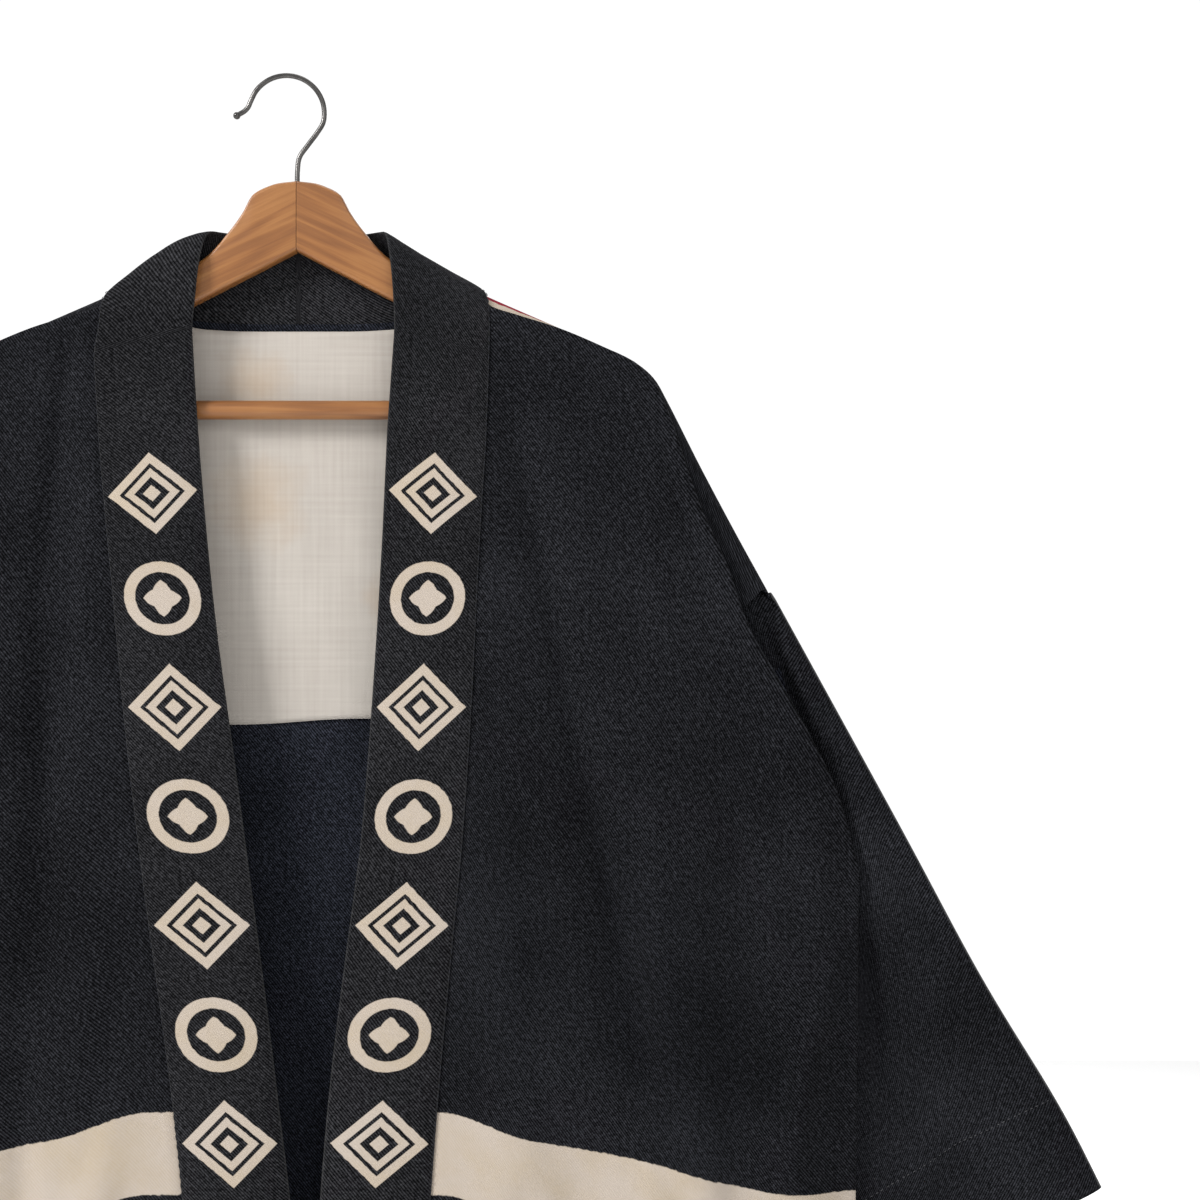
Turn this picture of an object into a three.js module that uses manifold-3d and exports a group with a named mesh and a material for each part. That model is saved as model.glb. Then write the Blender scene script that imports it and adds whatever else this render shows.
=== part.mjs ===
// A dyed cotton festival jacket of kimono cut, hung on a wooden hanger. Millimetres, +Z up.
// The jacket's outside front faces -Y.
// The origin is the inside of the hook's crown, where a wall pin holds it.
import * as THREE from "three";
import { mergeVertices } from "three/addons/utils/BufferGeometryUtils.js";
import Module from "manifold-3d";

const wasm = await Module();
wasm.setup();

// Driving dimensions
const CLOTH = 1.5;
const COLLAR_CLOTH = 3;
const LINING_CLOTH = 1;
const SEAM = 0.3;
const HANGER_REACH = 206;
const HANGER_SWEEP = 3;
const WOOD = 12;
const HALF_DEPTH_AT_RIDGE = 9.5;
const HEM_AT_CENTRE = -890;
const HEM_DROP = 49;
const SIDE_X = 325;
const HEM_SIDE_X = 320;
const CUFF_OPENING = 250;
const CUFF_TOP = { x: 465.7, z: -645 };
const SLEEVE_TOP = { x: 277.2, z: -304.4 };
const UNDERARM = { x: 254, z: -440 };
const CUFF_DIRECTION = { x: -0.905, z: -0.425 };
const SHANK_X = 6.4;
const LAPEL_TOP = -146;
const FRONT_AFTER_COLLAR = 0.9;
const CUFF_HEM_CLOTH = 2;
const LINING_REACH = 198;
const LINING_BOTTOM = -374;
const BAR = { z: -193, radius: 5.5, reach: 188 };
const HOOK = { wire: 1.5, loop: 22 };

// The shoulder line, from the neck out to the hanger's end, then down the fall of the sleeve
const SHOULDER_LINE = [
  { x: 50, z: -98 },
  { x: 87, z: -116 },
  { x: 110, z: -127.5 },
  { x: 128, z: -135.5 },
  { x: 151, z: -145.5 },
  { x: 177, z: -156.6 },
  { x: 193, z: -164 },
  { x: 202, z: -170.5 },
  { x: 207.6, z: -176.5 },
  { x: 214, z: -188 },
  { x: 233.7, z: -226.8 },
  { x: 254, z: -265 },
  { x: 273.8, z: -301 },
];

// The front panel's outer edge: the shoulder, then the fold over the sleeve, down to the underarm
const FRONT_EDGE = [
  { x: 100, z: -122 },
  { x: 112, z: -133 },
  { x: 128, z: -139 },
  { x: 151, z: -146.5 },
  { x: 177, z: -157.6 },
  { x: 193, z: -165.5 },
  { x: 202, z: -172.5 },
  { x: 208, z: -180 },
  { x: 217.5, z: -202 },
  { x: 233.7, z: -248.8 },
  { x: 250, z: -285.4 },
  { x: 260.4, z: -316 },
  { x: 278.4, z: -348.6 },
  { x: 295.2, z: -379.3 },
  { x: 313.2, z: -416 },
  { x: 325, z: -458 },
];

// The back panel's edge at the armhole, from the top of the sleeve down to the underarm
const BACK_ARMHOLE = [
  { x: 274.4, z: -303 },
  { x: 277, z: -326 },
  { x: 284, z: -356 },
  { x: 295.5, z: -386 },
  { x: 306, z: -412 },
  { x: 316, z: -439 },
  { x: 325, z: -464 },
];

// The neck seam on the back panel
const NECK_SEAM = [
  { x: 0, z: -145.8 },
  { x: 28, z: -145.8 },
  { x: 55, z: -144.6 },
  { x: 78, z: -138.6 },
  { x: 95, z: -132.6 },
  { x: 106, z: -128.6 },
];

// How far the back panel reaches over the shoulder line to the front, along the cloth
const BACK_TURNOVER = [
  { x: 96, reach: -14 },
  { x: 101, reach: -13 },
  { x: 107, reach: -7 },
  { x: 113, reach: 1 },
  { x: 116, reach: 3 },
  { x: 140, reach: 2 },
  { x: 160, reach: 0.5 },
  { x: 200, reach: 1 },
  { x: 208, reach: 6 },
  { x: 218, reach: 26 },
  { x: 234, reach: 42 },
  { x: 250, reach: 46 },
  { x: 257, reach: 40 },
  { x: 263, reach: 24 },
  { x: 269, reach: 9 },
  { x: 273.8, reach: 0 },
];

// The two lapels' neck edge and seam edge, as distances out from the middle, down to the hem
const LAPEL_ON_PLUS_X = [
  { z: -148, inner: 57.4, outer: 112 },
  { z: -206, inner: 53.2, outer: 110 },
  { z: -260, inner: 51, outer: 106.7 },
  { z: -368, inner: 44.7, outer: 101.5 },
  { z: -436, inner: 39.4, outer: 97 },
  { z: -503, inner: 30.5, outer: 90.5 },
  { z: -584, inner: 20.6, outer: 83 },
  { z: -645, inner: 15.5, outer: 78.4 },
  { z: -720, inner: 11.5, outer: 73 },
  { z: -900, inner: 9, outer: 69 },
];
const LAPEL_ON_MINUS_X = [
  { z: -148, inner: 59, outer: 115.5 },
  { z: -200, inner: 55.7, outer: 112.5 },
  { z: -304, inner: 45.8, outer: 102.5 },
  { z: -391, inner: 34, outer: 94 },
  { z: -467, inner: 24, outer: 85 },
  { z: -536, inner: 15, outer: 75.5 },
  { z: -607, inner: 6.4, outer: 66.5 },
  { z: -652, inner: 0.8, outer: 62 },
  { z: -720, inner: -3, outer: 58 },
  { z: -900, inner: -4.5, outer: 56 },
];

// The collar from the middle of the back neck over the shoulder: neck edge, then seam edge
const COLLAR_ROUND_NECK = [
  { ix: 0, iy: 10.6, iz: -90, ox: 0, oy: 10.6, oz: -145 },
  { ix: 14, iy: 10.6, iz: -90, ox: 16, oy: 10.6, oz: -145 },
  { ix: 28, iy: 10.5, iz: -89.5, ox: 33, oy: 10.6, oz: -144.9 },
  { ix: 38, iy: 9.8, iz: -89, ox: 52, oy: 10.4, oz: -144 },
  { ix: 44.5, iy: 7, iz: -88.5, ox: 70, oy: 9.9, oz: -140.6 },
  { ix: 48, iy: 4.2, iz: -88.5, ox: 87, oy: 10, oz: -133.6 },
  { ix: 50, iy: 0.2, iz: -89, ox: 98.5, oy: 8.4, oz: -127.2 },
  { ix: 51.3, iy: -4.2, iz: -91, ox: 105, oy: 3.4, oz: -123.4 },
  { ix: 52.6, iy: -8, iz: -95, ox: 108.8, oy: -3, oz: -123.6 },
  { ix: 54, iy: -10.6, iz: -102, ox: 110.8, oy: -8.4, oz: -128 },
  { ix: 55.6, iy: -12.2, iz: -113, ox: 112, oy: -11.6, oz: -135 },
  { ix: 56.8, iy: -13.2, iz: -128, ox: 112.4, oy: -13, oz: -146 },
];

// Soft folds: the line each runs on, its depth towards the back (a ridge is negative) and its half-width
const FOLDS_ON_PLUS_X_FRONT = [
  { x0: 116, z0: -150, x1: 208, z1: -610, depth: 5, width: 14 },
  { x0: 112, z0: -330, x1: 138, z1: -760, depth: -4, width: 24 },
  { x0: 212, z0: -380, x1: 240, z1: -790, depth: -4.5, width: 24 },
  { x0: 262, z0: -340, x1: 284, z1: -900, depth: 6, width: 22 },
  { x0: 318, z0: -462, x1: 280, z1: -650, depth: -3, width: 10 },
  { x0: 160, z0: -590, x1: 172, z1: -980, depth: 6, width: 20 },
  { x0: 214, z0: -700, x1: 226, z1: -1000, depth: -6, width: 24 },
  { x0: 112, z0: -700, x1: 116, z1: -1000, depth: -4, width: 18 },
];
const FOLDS_ON_MINUS_X_FRONT = [
  { x0: 126, z0: -146, x1: 146, z1: -560, depth: 5, width: 12 },
  { x0: 162, z0: -260, x1: 186, z1: -720, depth: -4.5, width: 24 },
  { x0: 215, z0: -300, x1: 236, z1: -980, depth: 6, width: 24 },
  { x0: 262, z0: -420, x1: 282, z1: -980, depth: -4, width: 20 },
  { x0: 112, z0: -440, x1: 120, z1: -1000, depth: -4, width: 20 },
  { x0: 156, z0: -640, x1: 160, z1: -1000, depth: 5, width: 20 },
  { x0: 192, z0: -740, x1: 198, z1: -1020, depth: -5, width: 20 },
];
const FOLDS_ON_BACK = [
  { x0: -262, z0: -330, x1: -276, z1: -1000, depth: -4, width: 24 },
  { x0: -182, z0: -200, x1: -196, z1: -1000, depth: 4, width: 30 },
  { x0: -96, z0: -300, x1: -104, z1: -1040, depth: -4, width: 28 },
  { x0: -20, z0: -420, x1: -16, z1: -1040, depth: 3.5, width: 30 },
  { x0: 64, z0: -360, x1: 72, z1: -1040, depth: -4.5, width: 26 },
  { x0: 148, z0: -240, x1: 160, z1: -1040, depth: 4, width: 30 },
  { x0: 236, z0: -300, x1: 252, z1: -1000, depth: -4, width: 26 },
];
const FOLDS_ON_SLEEVE = [
  { b0: 0.34, a0: -0.1, b1: 0.22, a1: 1.2, depth: 3, width: 0.09 },
  { b0: 0.62, a0: 0.05, b1: 0.5, a1: 1.2, depth: -2.5, width: 0.12 },
  { b0: 0.86, a0: 0.3, b1: 0.76, a1: 1.3, depth: 3, width: 0.09 },
];

const lerp = (a, b, t) => a + (b - a) * t;
const smooth = (t) => {
  const c = Math.min(1, Math.max(0, t));
  return c * c * (3 - 2 * c);
};

// A smooth curve through a table's rows that never overshoots them
function curve(rows, along, value) {
  const p = rows.map((r) => r[along]);
  const q = rows.map((r) => r[value]);
  const rising = p[p.length - 1] > p[0];
  const slope = p.slice(1).map((v, i) => (q[i + 1] - q[i]) / (v - p[i]));
  const bend = p.map((_, i) => {
    if (i === 0) return slope[0];
    if (i === p.length - 1) return slope[i - 1];
    const same = slope[i - 1] * slope[i] > 0;
    return same ? (2 * slope[i - 1] * slope[i]) / (slope[i - 1] + slope[i]) : 0;
  });
  return (at) => {
    let i = 0;
    while (i < p.length - 2 && (rising ? at > p[i + 1] : at < p[i + 1])) i++;
    const h = p[i + 1] - p[i];
    const t = Math.min(1, Math.max(0, (at - p[i]) / h));
    const t2 = t * t;
    const t3 = t2 * t;
    return (
      (2 * t3 - 3 * t2 + 1) * q[i] +
      (t3 - 2 * t2 + t) * h * bend[i] +
      (3 * t2 - 2 * t3) * q[i + 1] +
      (t3 - t2) * h * bend[i + 1]
    );
  };
}

const shoulderZ = curve(SHOULDER_LINE, "x", "z");
const frontEdgeZ = curve(FRONT_EDGE, "x", "z");
const neckSeamZ = curve(NECK_SEAM, "x", "z");
const turnover = curve(BACK_TURNOVER, "x", "reach");

// The sum of the soft folds at a point
function foldDepth(folds, x, z) {
  let sum = 0;
  for (const f of folds) {
    const t = (z - f.z0) / (f.z1 - f.z0);
    if (t <= 0 || t >= 1) continue;
    const off = (x - lerp(f.x0, f.x1, t)) / f.width;
    sum += f.depth * Math.exp(-off * off) * smooth(t / 0.25) * smooth((1 - t) / 0.2);
  }
  return sum;
}

const woodY = (x) => -HANGER_SWEEP * Math.pow(Math.min(1, Math.abs(x) / HANGER_REACH), 1.6);
const hemZ = (x) => HEM_AT_CENTRE - HEM_DROP * smooth((Math.abs(x) - 40) / 300) * 1.06;
const armholeZ = curve(BACK_ARMHOLE, "x", "z");
const armholeX = curve(BACK_ARMHOLE, "z", "x");
const ARMHOLE_END = BACK_ARMHOLE[BACK_ARMHOLE.length - 1].z;
const halfDepth = (x) => HALF_DEPTH_AT_RIDGE * lerp(1, 0.72, smooth((Math.abs(x) - 206) / 40));

// The depth of the back panel: near the hanger at the shoulder, flat below, and forward at the side seams
function backY(x, z) {
  const ax = Math.abs(x);
  const below = Math.max(0, shoulderZ(Math.min(ax, 273)) - z);
  const near = woodY(x) + halfDepth(x);
  const plain = lerp(near, 8.6, smooth((below - 12) / 90));
  const side = smooth((ax - 215) / 110);
  const folds = foldDepth(FOLDS_ON_BACK, x, z) * (1 - side) * smooth(below / 200);
  return lerp(plain, 0.6, side) + folds * 0.6;
}

// The depth of a front panel: off the hanger at the shoulder, fuller below, and back to the side seam
function frontY(x, z, folds) {
  const ax = Math.abs(x);
  const below = Math.max(0, frontEdgeZ(Math.min(ax, SIDE_X)) - z);
  const start = woodY(x) - HALF_DEPTH_AT_RIDGE - lerp(1.4, 2.6, smooth((ax - 196) / 12));
  const full = start - 6 * smooth(below / 260) - 3 * smooth((-z - 500) / 400);
  const edge = smooth((ax - 283) / (SIDE_X - 283));
  const low = smooth((-z - 300) / 160);
  return lerp(full, -2.6, edge * low) + foldDepth(folds, ax, z) * (1 - edge * 0.8);
}

// A closed wall of cloth about a grid of middle points; thickness may vary with row and column
function wall(grid, thickness) {
  const rows = grid.length;
  const cols = grid[0].length;
  const at = (i, j) => grid[Math.min(rows - 1, Math.max(0, i))][Math.min(cols - 1, Math.max(0, j))];
  const out = [];
  const inn = [];
  for (let i = 0; i < rows; i++) {
    for (let j = 0; j < cols; j++) {
      const down = at(i + 1, j).clone().sub(at(i - 1, j));
      const across = at(i, j + 1).clone().sub(at(i, j - 1));
      const n = across.cross(down).normalize();
      const half = (typeof thickness === "function" ? thickness(i, j) : thickness) / 2;
      out.push(at(i, j).clone().addScaledVector(n, half));
      inn.push(at(i, j).clone().addScaledVector(n, -half));
    }
  }
  const points = [...out, ...inn];
  const back = out.length;
  const id = (i, j) => i * cols + j;
  const tris = [];
  const quad = (a, b, c, d) => tris.push(a, b, c, a, c, d);
  for (let i = 0; i < rows - 1; i++) {
    for (let j = 0; j < cols - 1; j++) {
      quad(id(i, j), id(i + 1, j), id(i + 1, j + 1), id(i, j + 1));
      quad(back + id(i, j), back + id(i, j + 1), back + id(i + 1, j + 1), back + id(i + 1, j));
    }
  }
  for (let i = 0; i < rows - 1; i++) {
    const l = cols - 1;
    quad(id(i, 0), back + id(i, 0), back + id(i + 1, 0), id(i + 1, 0));
    quad(id(i, l), id(i + 1, l), back + id(i + 1, l), back + id(i, l));
  }
  for (let j = 0; j < cols - 1; j++) {
    const l = rows - 1;
    quad(id(0, j), id(0, j + 1), back + id(0, j + 1), back + id(0, j));
    quad(id(l, j), back + id(l, j), back + id(l, j + 1), id(l, j + 1));
  }
  return geometryOf(points, tris);
}

// A geometry from points and triangles, turned so that its faces point out
function geometryOf(points, tris) {
  let volume = 0;
  for (let k = 0; k < tris.length; k += 3) {
    const cross = points[tris[k + 1]].clone().cross(points[tris[k + 2]]);
    volume += points[tris[k]].dot(cross);
  }
  if (volume < 0) {
    tris.reverse();
  }
  const g = new THREE.BufferGeometry();
  const numbers = points.flatMap((p) => [p.x, p.y, p.z]);
  g.setAttribute("position", new THREE.Float32BufferAttribute(numbers, 3));
  g.setIndex(tris);
  g.computeVertexNormals();
  return g;
}

// A solid through rings of points, closed flat at both ends
function loft(rings) {
  const n = rings[0].length;
  const points = rings.flat();
  const tris = [];
  for (let i = 0; i < rings.length - 1; i++) {
    for (let j = 0; j < n; j++) {
      const k = (j + 1) % n;
      tris.push(i * n + j, i * n + k, (i + 1) * n + k, i * n + j, (i + 1) * n + k, (i + 1) * n + j);
    }
  }
  const last = (rings.length - 1) * n;
  for (let j = 1; j < n - 1; j++) {
    tris.push(0, j + 1, j);
    tris.push(last, last + j, last + j + 1);
  }
  return geometryOf(points, tris);
}

// A cloth tube through rings of outside points, open at both ends; side is -1 for a mirrored one
function tube(rings, thickness, side) {
  const m = rings.length;
  const n = rings[0].length;
  const inner = rings.map((ring, i) =>
    ring.map((p, j) => {
      const round = ring[(j + 1) % n].clone().sub(ring[(j + n - 1) % n]);
      const along = rings[Math.min(m - 1, i + 1)][j].clone().sub(rings[Math.max(0, i - 1)][j]);
      return p.clone().addScaledVector(round.cross(along).normalize(), -thickness(i) * side);
    }),
  );
  const points = [...rings.flat(), ...inner.flat()];
  const tris = [];
  const quad = (a, b, c, d) => tris.push(a, b, c, a, c, d);
  for (let j = 0; j < n; j++) {
    const k = (j + 1) % n;
    for (let i = 0; i < m - 1; i++) {
      quad(i * n + j, i * n + k, (i + 1) * n + k, (i + 1) * n + j);
      quad((m + i) * n + j, (m + i + 1) * n + j, (m + i + 1) * n + k, (m + i) * n + k);
    }
    quad(j, m * n + j, m * n + k, k);
    const e = (m - 1) * n;
    quad(e + j, e + k, m * n + e + k, m * n + e + j);
  }
  return geometryOf(points, tris);
}

const vec = (x, y, z) => new THREE.Vector3(x, y, z);
const mirrored = (points, side) => points.map((p) => vec(p.x * side, p.y, p.z));
const spread = (n, power = 1) => Array.from({ length: n + 1 }, (_, i) => Math.pow(i / n, power));

// The back panel: one cloth from the neck and shoulder seams to the hem
const BACK_COLUMNS = [
  0, 22, 44, 62, 78, 92, 98, 101, 104, 107, 110, 113, 124, 140, 158, 178, 194, 203, 209, 216,
  226, 238, 249, 257, 263, 269, 274.4, 286, 300, 313, 325,
];
const NEAR_TOP = [0, 3.4, 6.8, 10.2, 13.6, 17.5, 23, 32, 46, 66];
const NEAR_TOP_END = 66;
const NECK_SEAM_END = 96;
const SLEEVE_TOP_ON_BACK = 274;
const TURNED_DEPTH = 0.94;
function backPoint(x, fromTop, share) {
  const ax = Math.abs(x);
  const overShoulder = ax > NECK_SEAM_END && ax < SLEEVE_TOP_ON_BACK;
  const hemX = x * (HEM_SIDE_X / SIDE_X);
  if (!overShoulder) {
    const top = ax <= NECK_SEAM_END ? neckSeamZ(ax) : armholeZ(ax);
    const z = fromTop === null ? lerp(top - NEAR_TOP_END, hemZ(x), share) : top - fromTop;
    const px = lerp(x, hemX, smooth((top - z) / 500));
    return vec(px, backY(px, z), z);
  }
  const ridge = shoulderZ(ax);
  const steep = Math.abs(shoulderZ(Math.min(273, ax + 1)) - shoulderZ(ax - 1)) / 2;
  const h = halfDepth(ax);
  const rise = h * Math.min(2.1, Math.sqrt(1 + steep * steep));
  const quarter = (Math.PI / 4) * (h + rise);
  const reach = turnover(ax);
  const ridgeY = woodY(x);
  const total = reach + quarter + (ridge - rise - hemZ(x));
  const d = (fromTop === null ? lerp(NEAR_TOP_END, total, share) : fromTop) - reach;
  if (d < -quarter) {
    return vec(x, ridgeY - h * TURNED_DEPTH, ridge - rise + (d + quarter));
  }
  if (d < quarter) {
    const angle = (d / quarter) * (Math.PI / 2);
    const deep = d < 0 ? h * TURNED_DEPTH : h;
    return vec(x, ridgeY + Math.sin(angle) * deep, ridge - rise + rise * Math.cos(angle));
  }
  const z = ridge - rise - (d - quarter);
  const px = lerp(x, hemX, smooth((ridge - z) / 500));
  return vec(px, backY(px, z), z);
}
function backPanel() {
  const columns = [...BACK_COLUMNS.slice(1).reverse().map((x) => -x), ...BACK_COLUMNS];
  const rows = [
    ...NEAR_TOP.map((d) => columns.map((x) => backPoint(x, d, 0))),
    ...spread(13, 1.05).slice(1).map((s) => columns.map((x) => backPoint(x, null, s))),
  ];
  return wall(rows, CLOTH);
}

// A front panel, from the shoulder and the sleeve's fold to the hem, and from the collar's seam to the side
function frontPanel(side) {
  const lapel = side > 0 ? LAPEL_ON_PLUS_X : LAPEL_ON_MINUS_X;
  const folds = side > 0 ? FOLDS_ON_PLUS_X_FRONT : FOLDS_ON_MINUS_X_FRONT;
  const seamX = curve(lapel, "z", "outer");
  const columns = [0, 0.055, 0.12, 0.2, 0.3, 0.4, 0.45, 0.5, 0.57, 0.65, 0.72, 0.79, 0.86, 0.93, 1];
  const seamTop = lapel[0].z;
  const seamBottom = lapel[lapel.length - 1].z;
  const topX = (s) => lerp(seamX(seamTop) + FRONT_AFTER_COLLAR, SIDE_X, s);
  const bottomX = (s) => lerp(seamX(seamBottom) + FRONT_AFTER_COLLAR, HEM_SIDE_X, s);
  const shares = [0, 0.008, 0.02, 0.04, 0.07, ...spread(19).map((v) => lerp(0.105, 1, v))];
  const rows = shares.map((r) =>
    columns.map((s) => {
      const z = lerp(frontEdgeZ(topX(s)), hemZ(bottomX(s)), r);
      const straight = lerp(topX(0), bottomX(0), r);
      const atSeam = seamX(z) + FRONT_AFTER_COLLAR - straight;
      const x = lerp(topX(s), bottomX(s), r) + atSeam * (1 - s) ** 2;
      const tuck = 2.4 * (1 - smooth((frontEdgeZ(topX(s)) - z) / 9)) * (1 - smooth((x - 190) / 12));
      return vec(x * side, frontY(x, z, folds) + tuck, z);
    }),
  );
  return wall(rows, CLOTH);
}

// A lapel's two edges at one height
function lapelEdges(side, z, tilt) {
  const lapel = side > 0 ? LAPEL_ON_PLUS_X : LAPEL_ON_MINUS_X;
  const folds = side > 0 ? FOLDS_ON_PLUS_X_FRONT : FOLDS_ON_MINUS_X_FRONT;
  const inner = curve(lapel, "z", "inner")(z);
  const oz = z - tilt;
  const outer = curve(lapel, "z", "outer")(oz);
  const y = frontY(outer, oz, folds) - CLOTH / 2;
  return { ix: inner, iy: y + 1.4, iz: z, ox: outer - SEAM, oy: y, oz };
}

// The collar: one folded band round the back neck and down both fronts
function collar() {
  const half = (side) => [
    ...COLLAR_ROUND_NECK,
    ...spread(26).map((t) => {
      const tilt = lerp(14, 0, smooth(t * 5));
      return lapelEdges(side, lerp(LAPEL_TOP, HEM_AT_CENTRE, t), tilt);
    }),
  ];
  const minus = half(-1).slice(1).reverse().map((e) => ({ ...e, ix: -e.ix, ox: -e.ox }));
  const stations = [...minus, ...half(1)];
  const across = [0, 0.5, 1];
  const grid = stations.map((e) =>
    across.map((t) => vec(lerp(e.ix, e.ox, t), lerp(e.iy, e.oy, t), lerp(e.iz, e.oz, t))),
  );
  return wall(grid, COLLAR_CLOTH);
}

// The plain-weave lining that backs the shoulders inside
function lining() {
  const columns = spread(20).map((t) => lerp(-LINING_REACH, LINING_REACH, t));
  const rows = spread(10).map((t) =>
    columns.map((x) => {
      const ax = Math.abs(x);
      const top = Math.min(neckSeamZ(Math.min(ax, 90)) - 0.4, shoulderZ(Math.max(ax, 60)) - 26);
      const z = lerp(top, LINING_BOTTOM + x * 0.03, t);
      return vec(x, backY(x, z) - CLOTH / 2 - SEAM - LINING_CLOTH / 2 - 0.15, z);
    }),
  );
  return wall(rows, LINING_CLOTH);
}

// A sleeve: a tube flattened as it hangs, from the armhole to the cuff, behind the body below the underarm
const GIRTH = [0, 0.012, 0.04, 0.1, 0.2, 0.32, 0.45, 0.58, 0.7, 0.82, 0.91, 0.965, 0.99, 1];
const SLEEVE_RINGS = [0, 0.05, 0.11, 0.18, 0.26, 0.35, 0.45, 0.55, 0.65, 0.75, 0.85, 0.93, 1];
const CUFF_HEM = 0.85;
function sleeve(side) {
  const point = (a, b, layer) => {
    const startX = lerp(SLEEVE_TOP.x, UNDERARM.x, b);
    const startZ = lerp(SLEEVE_TOP.z, UNDERARM.z, b);
    const cuffX = CUFF_TOP.x + CUFF_DIRECTION.x * CUFF_OPENING * b;
    const cuffZ = CUFF_TOP.z + CUFF_DIRECTION.z * CUFF_OPENING * b;
    const along = (a / 0.35) * Math.exp(1 - a / 0.35);
    const topSag = 9.6 * Math.pow(along, 1.8) * (1 - Math.pow(a, 6)) * (1 - b) * (1 - b);
    const lowSag = 6 * b * b * Math.sin(Math.PI * a);
    const x = lerp(startX, cuffX, a) - topSag + lowSag;
    const z = lerp(startZ, cuffZ, a);
    const top = lerp(-0.5, 4, smooth(a * 1.2));
    const low = lerp(10, 15.5, smooth(a * 2.2));
    let middle = lerp(top, low, smooth(b * 2.6));
    for (const f of FOLDS_ON_SLEEVE) {
      const t = (a - f.a0) / (f.a1 - f.a0);
      if (t <= 0 || t >= 1) continue;
      const off = (b - lerp(f.b0, f.b1, t)) / f.width;
      middle += f.depth * Math.exp(-off * off) * smooth(t * 4);
    }
    const round = Math.sqrt(Math.max(0, 1 - Math.pow(2 * b - 1, 4)));
    const full = lerp(6, 8.5, smooth(a * 2)) * round;
    const downSide = (ARMHOLE_END - z) / (ARMHOLE_END - hemZ(SIDE_X));
    const edge = z > ARMHOLE_END ? armholeX(z) : lerp(SIDE_X, HEM_SIDE_X, downSide);
    const band = lerp(2.4, 16, smooth(b * 8));
    const behind = smooth((1.25 * (edge + band - x)) / band);
    const clear = backY(Math.min(x, edge), z) + CLOTH * 1.8;
    const shift = behind * Math.max(0, clear - (middle - full));
    return vec(x, middle + layer * full + shift, z);
  };
  const rings = SLEEVE_RINGS.map((a) => {
    const front = GIRTH.slice(1, -1).map((b) => point(a, b, -1));
    const back = GIRTH.slice(1, -1).reverse().map((b) => point(a, b, 1));
    return mirrored([point(a, 0, 0), ...front, point(a, 1, 0), ...back], side);
  });
  return tube(rings, (i) => (SLEEVE_RINGS[i] >= CUFF_HEM ? CUFF_HEM_CLOTH : CLOTH), side);
}

// One wooden half of the hanger, lofted outwards from the joint in the middle
const WOOD_SECTIONS = [
  { x: 0.15, top: -60.5, bottom: -101 },
  { x: 10, top: -61.6, bottom: -106.2 },
  { x: 19, top: -64.6, bottom: -111 },
  { x: 25.5, top: -68.6, bottom: -114.3 },
  { x: 31, top: -78.5, bottom: -117.1 },
  { x: 38.3, top: -88.8, bottom: -121 },
  { x: 51.6, top: -103.8, bottom: -127.8 },
  { x: 70, top: -114.5, bottom: -137.4 },
  { x: 95, top: -125.2, bottom: -150.4 },
  { x: 125, top: -137.4, bottom: -166 },
  { x: 155, top: -150.2, bottom: -182 },
  { x: 174, top: -158.6, bottom: -195 },
  { x: 186, top: -164.2, bottom: -203.5 },
  { x: 196, top: -169.6, bottom: -205 },
  { x: 202, top: -174.6, bottom: -202 },
  { x: 205.6, top: -181.5, bottom: -195.5 },
];
function woodRing(s, side) {
  const corner = Math.min(2.6, (s.top - s.bottom) / 5);
  const half = WOOD / 2;
  const y = woodY(s.x);
  const ring = [
    [-half, s.bottom + corner],
    [-half + corner * 0.3, s.bottom + corner * 0.3],
    [-half + corner, s.bottom],
    [half - corner, s.bottom],
    [half - corner * 0.3, s.bottom + corner * 0.3],
    [half, s.bottom + corner],
    [half, s.top - corner],
    [half - corner * 0.3, s.top - corner * 0.3],
    [half - corner, s.top],
    [-half + corner, s.top],
    [-half + corner * 0.3, s.top - corner * 0.3],
    [-half, s.top - corner],
  ];
  return ring.map(([dy, z]) => vec(s.x * side, y + dy, z));
}

// Booleans: a geometry to a solid and back
function solidOf(geometry) {
  const g = geometry.index ? geometry.toNonIndexed() : geometry.clone();
  g.deleteAttribute("normal");
  g.deleteAttribute("uv");
  const merged = mergeVertices(g, 1e-4);
  const triVerts = new Uint32Array(merged.index.array);
  const vertProperties = new Float32Array(merged.attributes.position.array);
  return new wasm.Manifold(new wasm.Mesh({ numProp: 3, vertProperties, triVerts }));
}
function geometryFrom(solid) {
  const m = solid.getMesh();
  const g = new THREE.BufferGeometry();
  g.setAttribute("position", new THREE.BufferAttribute(new Float32Array(m.vertProperties), 3));
  g.setIndex(new THREE.BufferAttribute(new Uint32Array(m.triVerts), 1));
  g.computeVertexNormals();
  return g;
}
function rod(radius, from, to, sides) {
  const a = vec(...from);
  const b = vec(...to);
  const g = new THREE.CylinderGeometry(radius, radius, a.distanceTo(b), sides);
  const direction = b.clone().sub(a).normalize();
  g.applyQuaternion(new THREE.Quaternion().setFromUnitVectors(vec(0, 1, 0), direction));
  g.translate((a.x + b.x) / 2, (a.y + b.y) / 2, (a.z + b.z) / 2);
  return g;
}
const barY = woodY(BAR.reach);
const SHANK_END = -88;
function hangerHalf(side) {
  const body = solidOf(loft(WOOD_SECTIONS.map((s) => woodRing(s, side))));
  const socketFrom = [side * 120, barY, BAR.z];
  const socketTo = [side * (BAR.reach + SEAM), barY, BAR.z];
  const shankFrom = [0, 0, SHANK_END + 48];
  const shankTo = [0, 0, SHANK_END - SEAM];
  return geometryFrom(
    body
      .subtract(solidOf(rod(BAR.radius + SEAM, socketFrom, socketTo, 24)))
      .subtract(solidOf(rod(HOOK.wire + SEAM, shankFrom, shankTo, 16))),
  );
}
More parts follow.
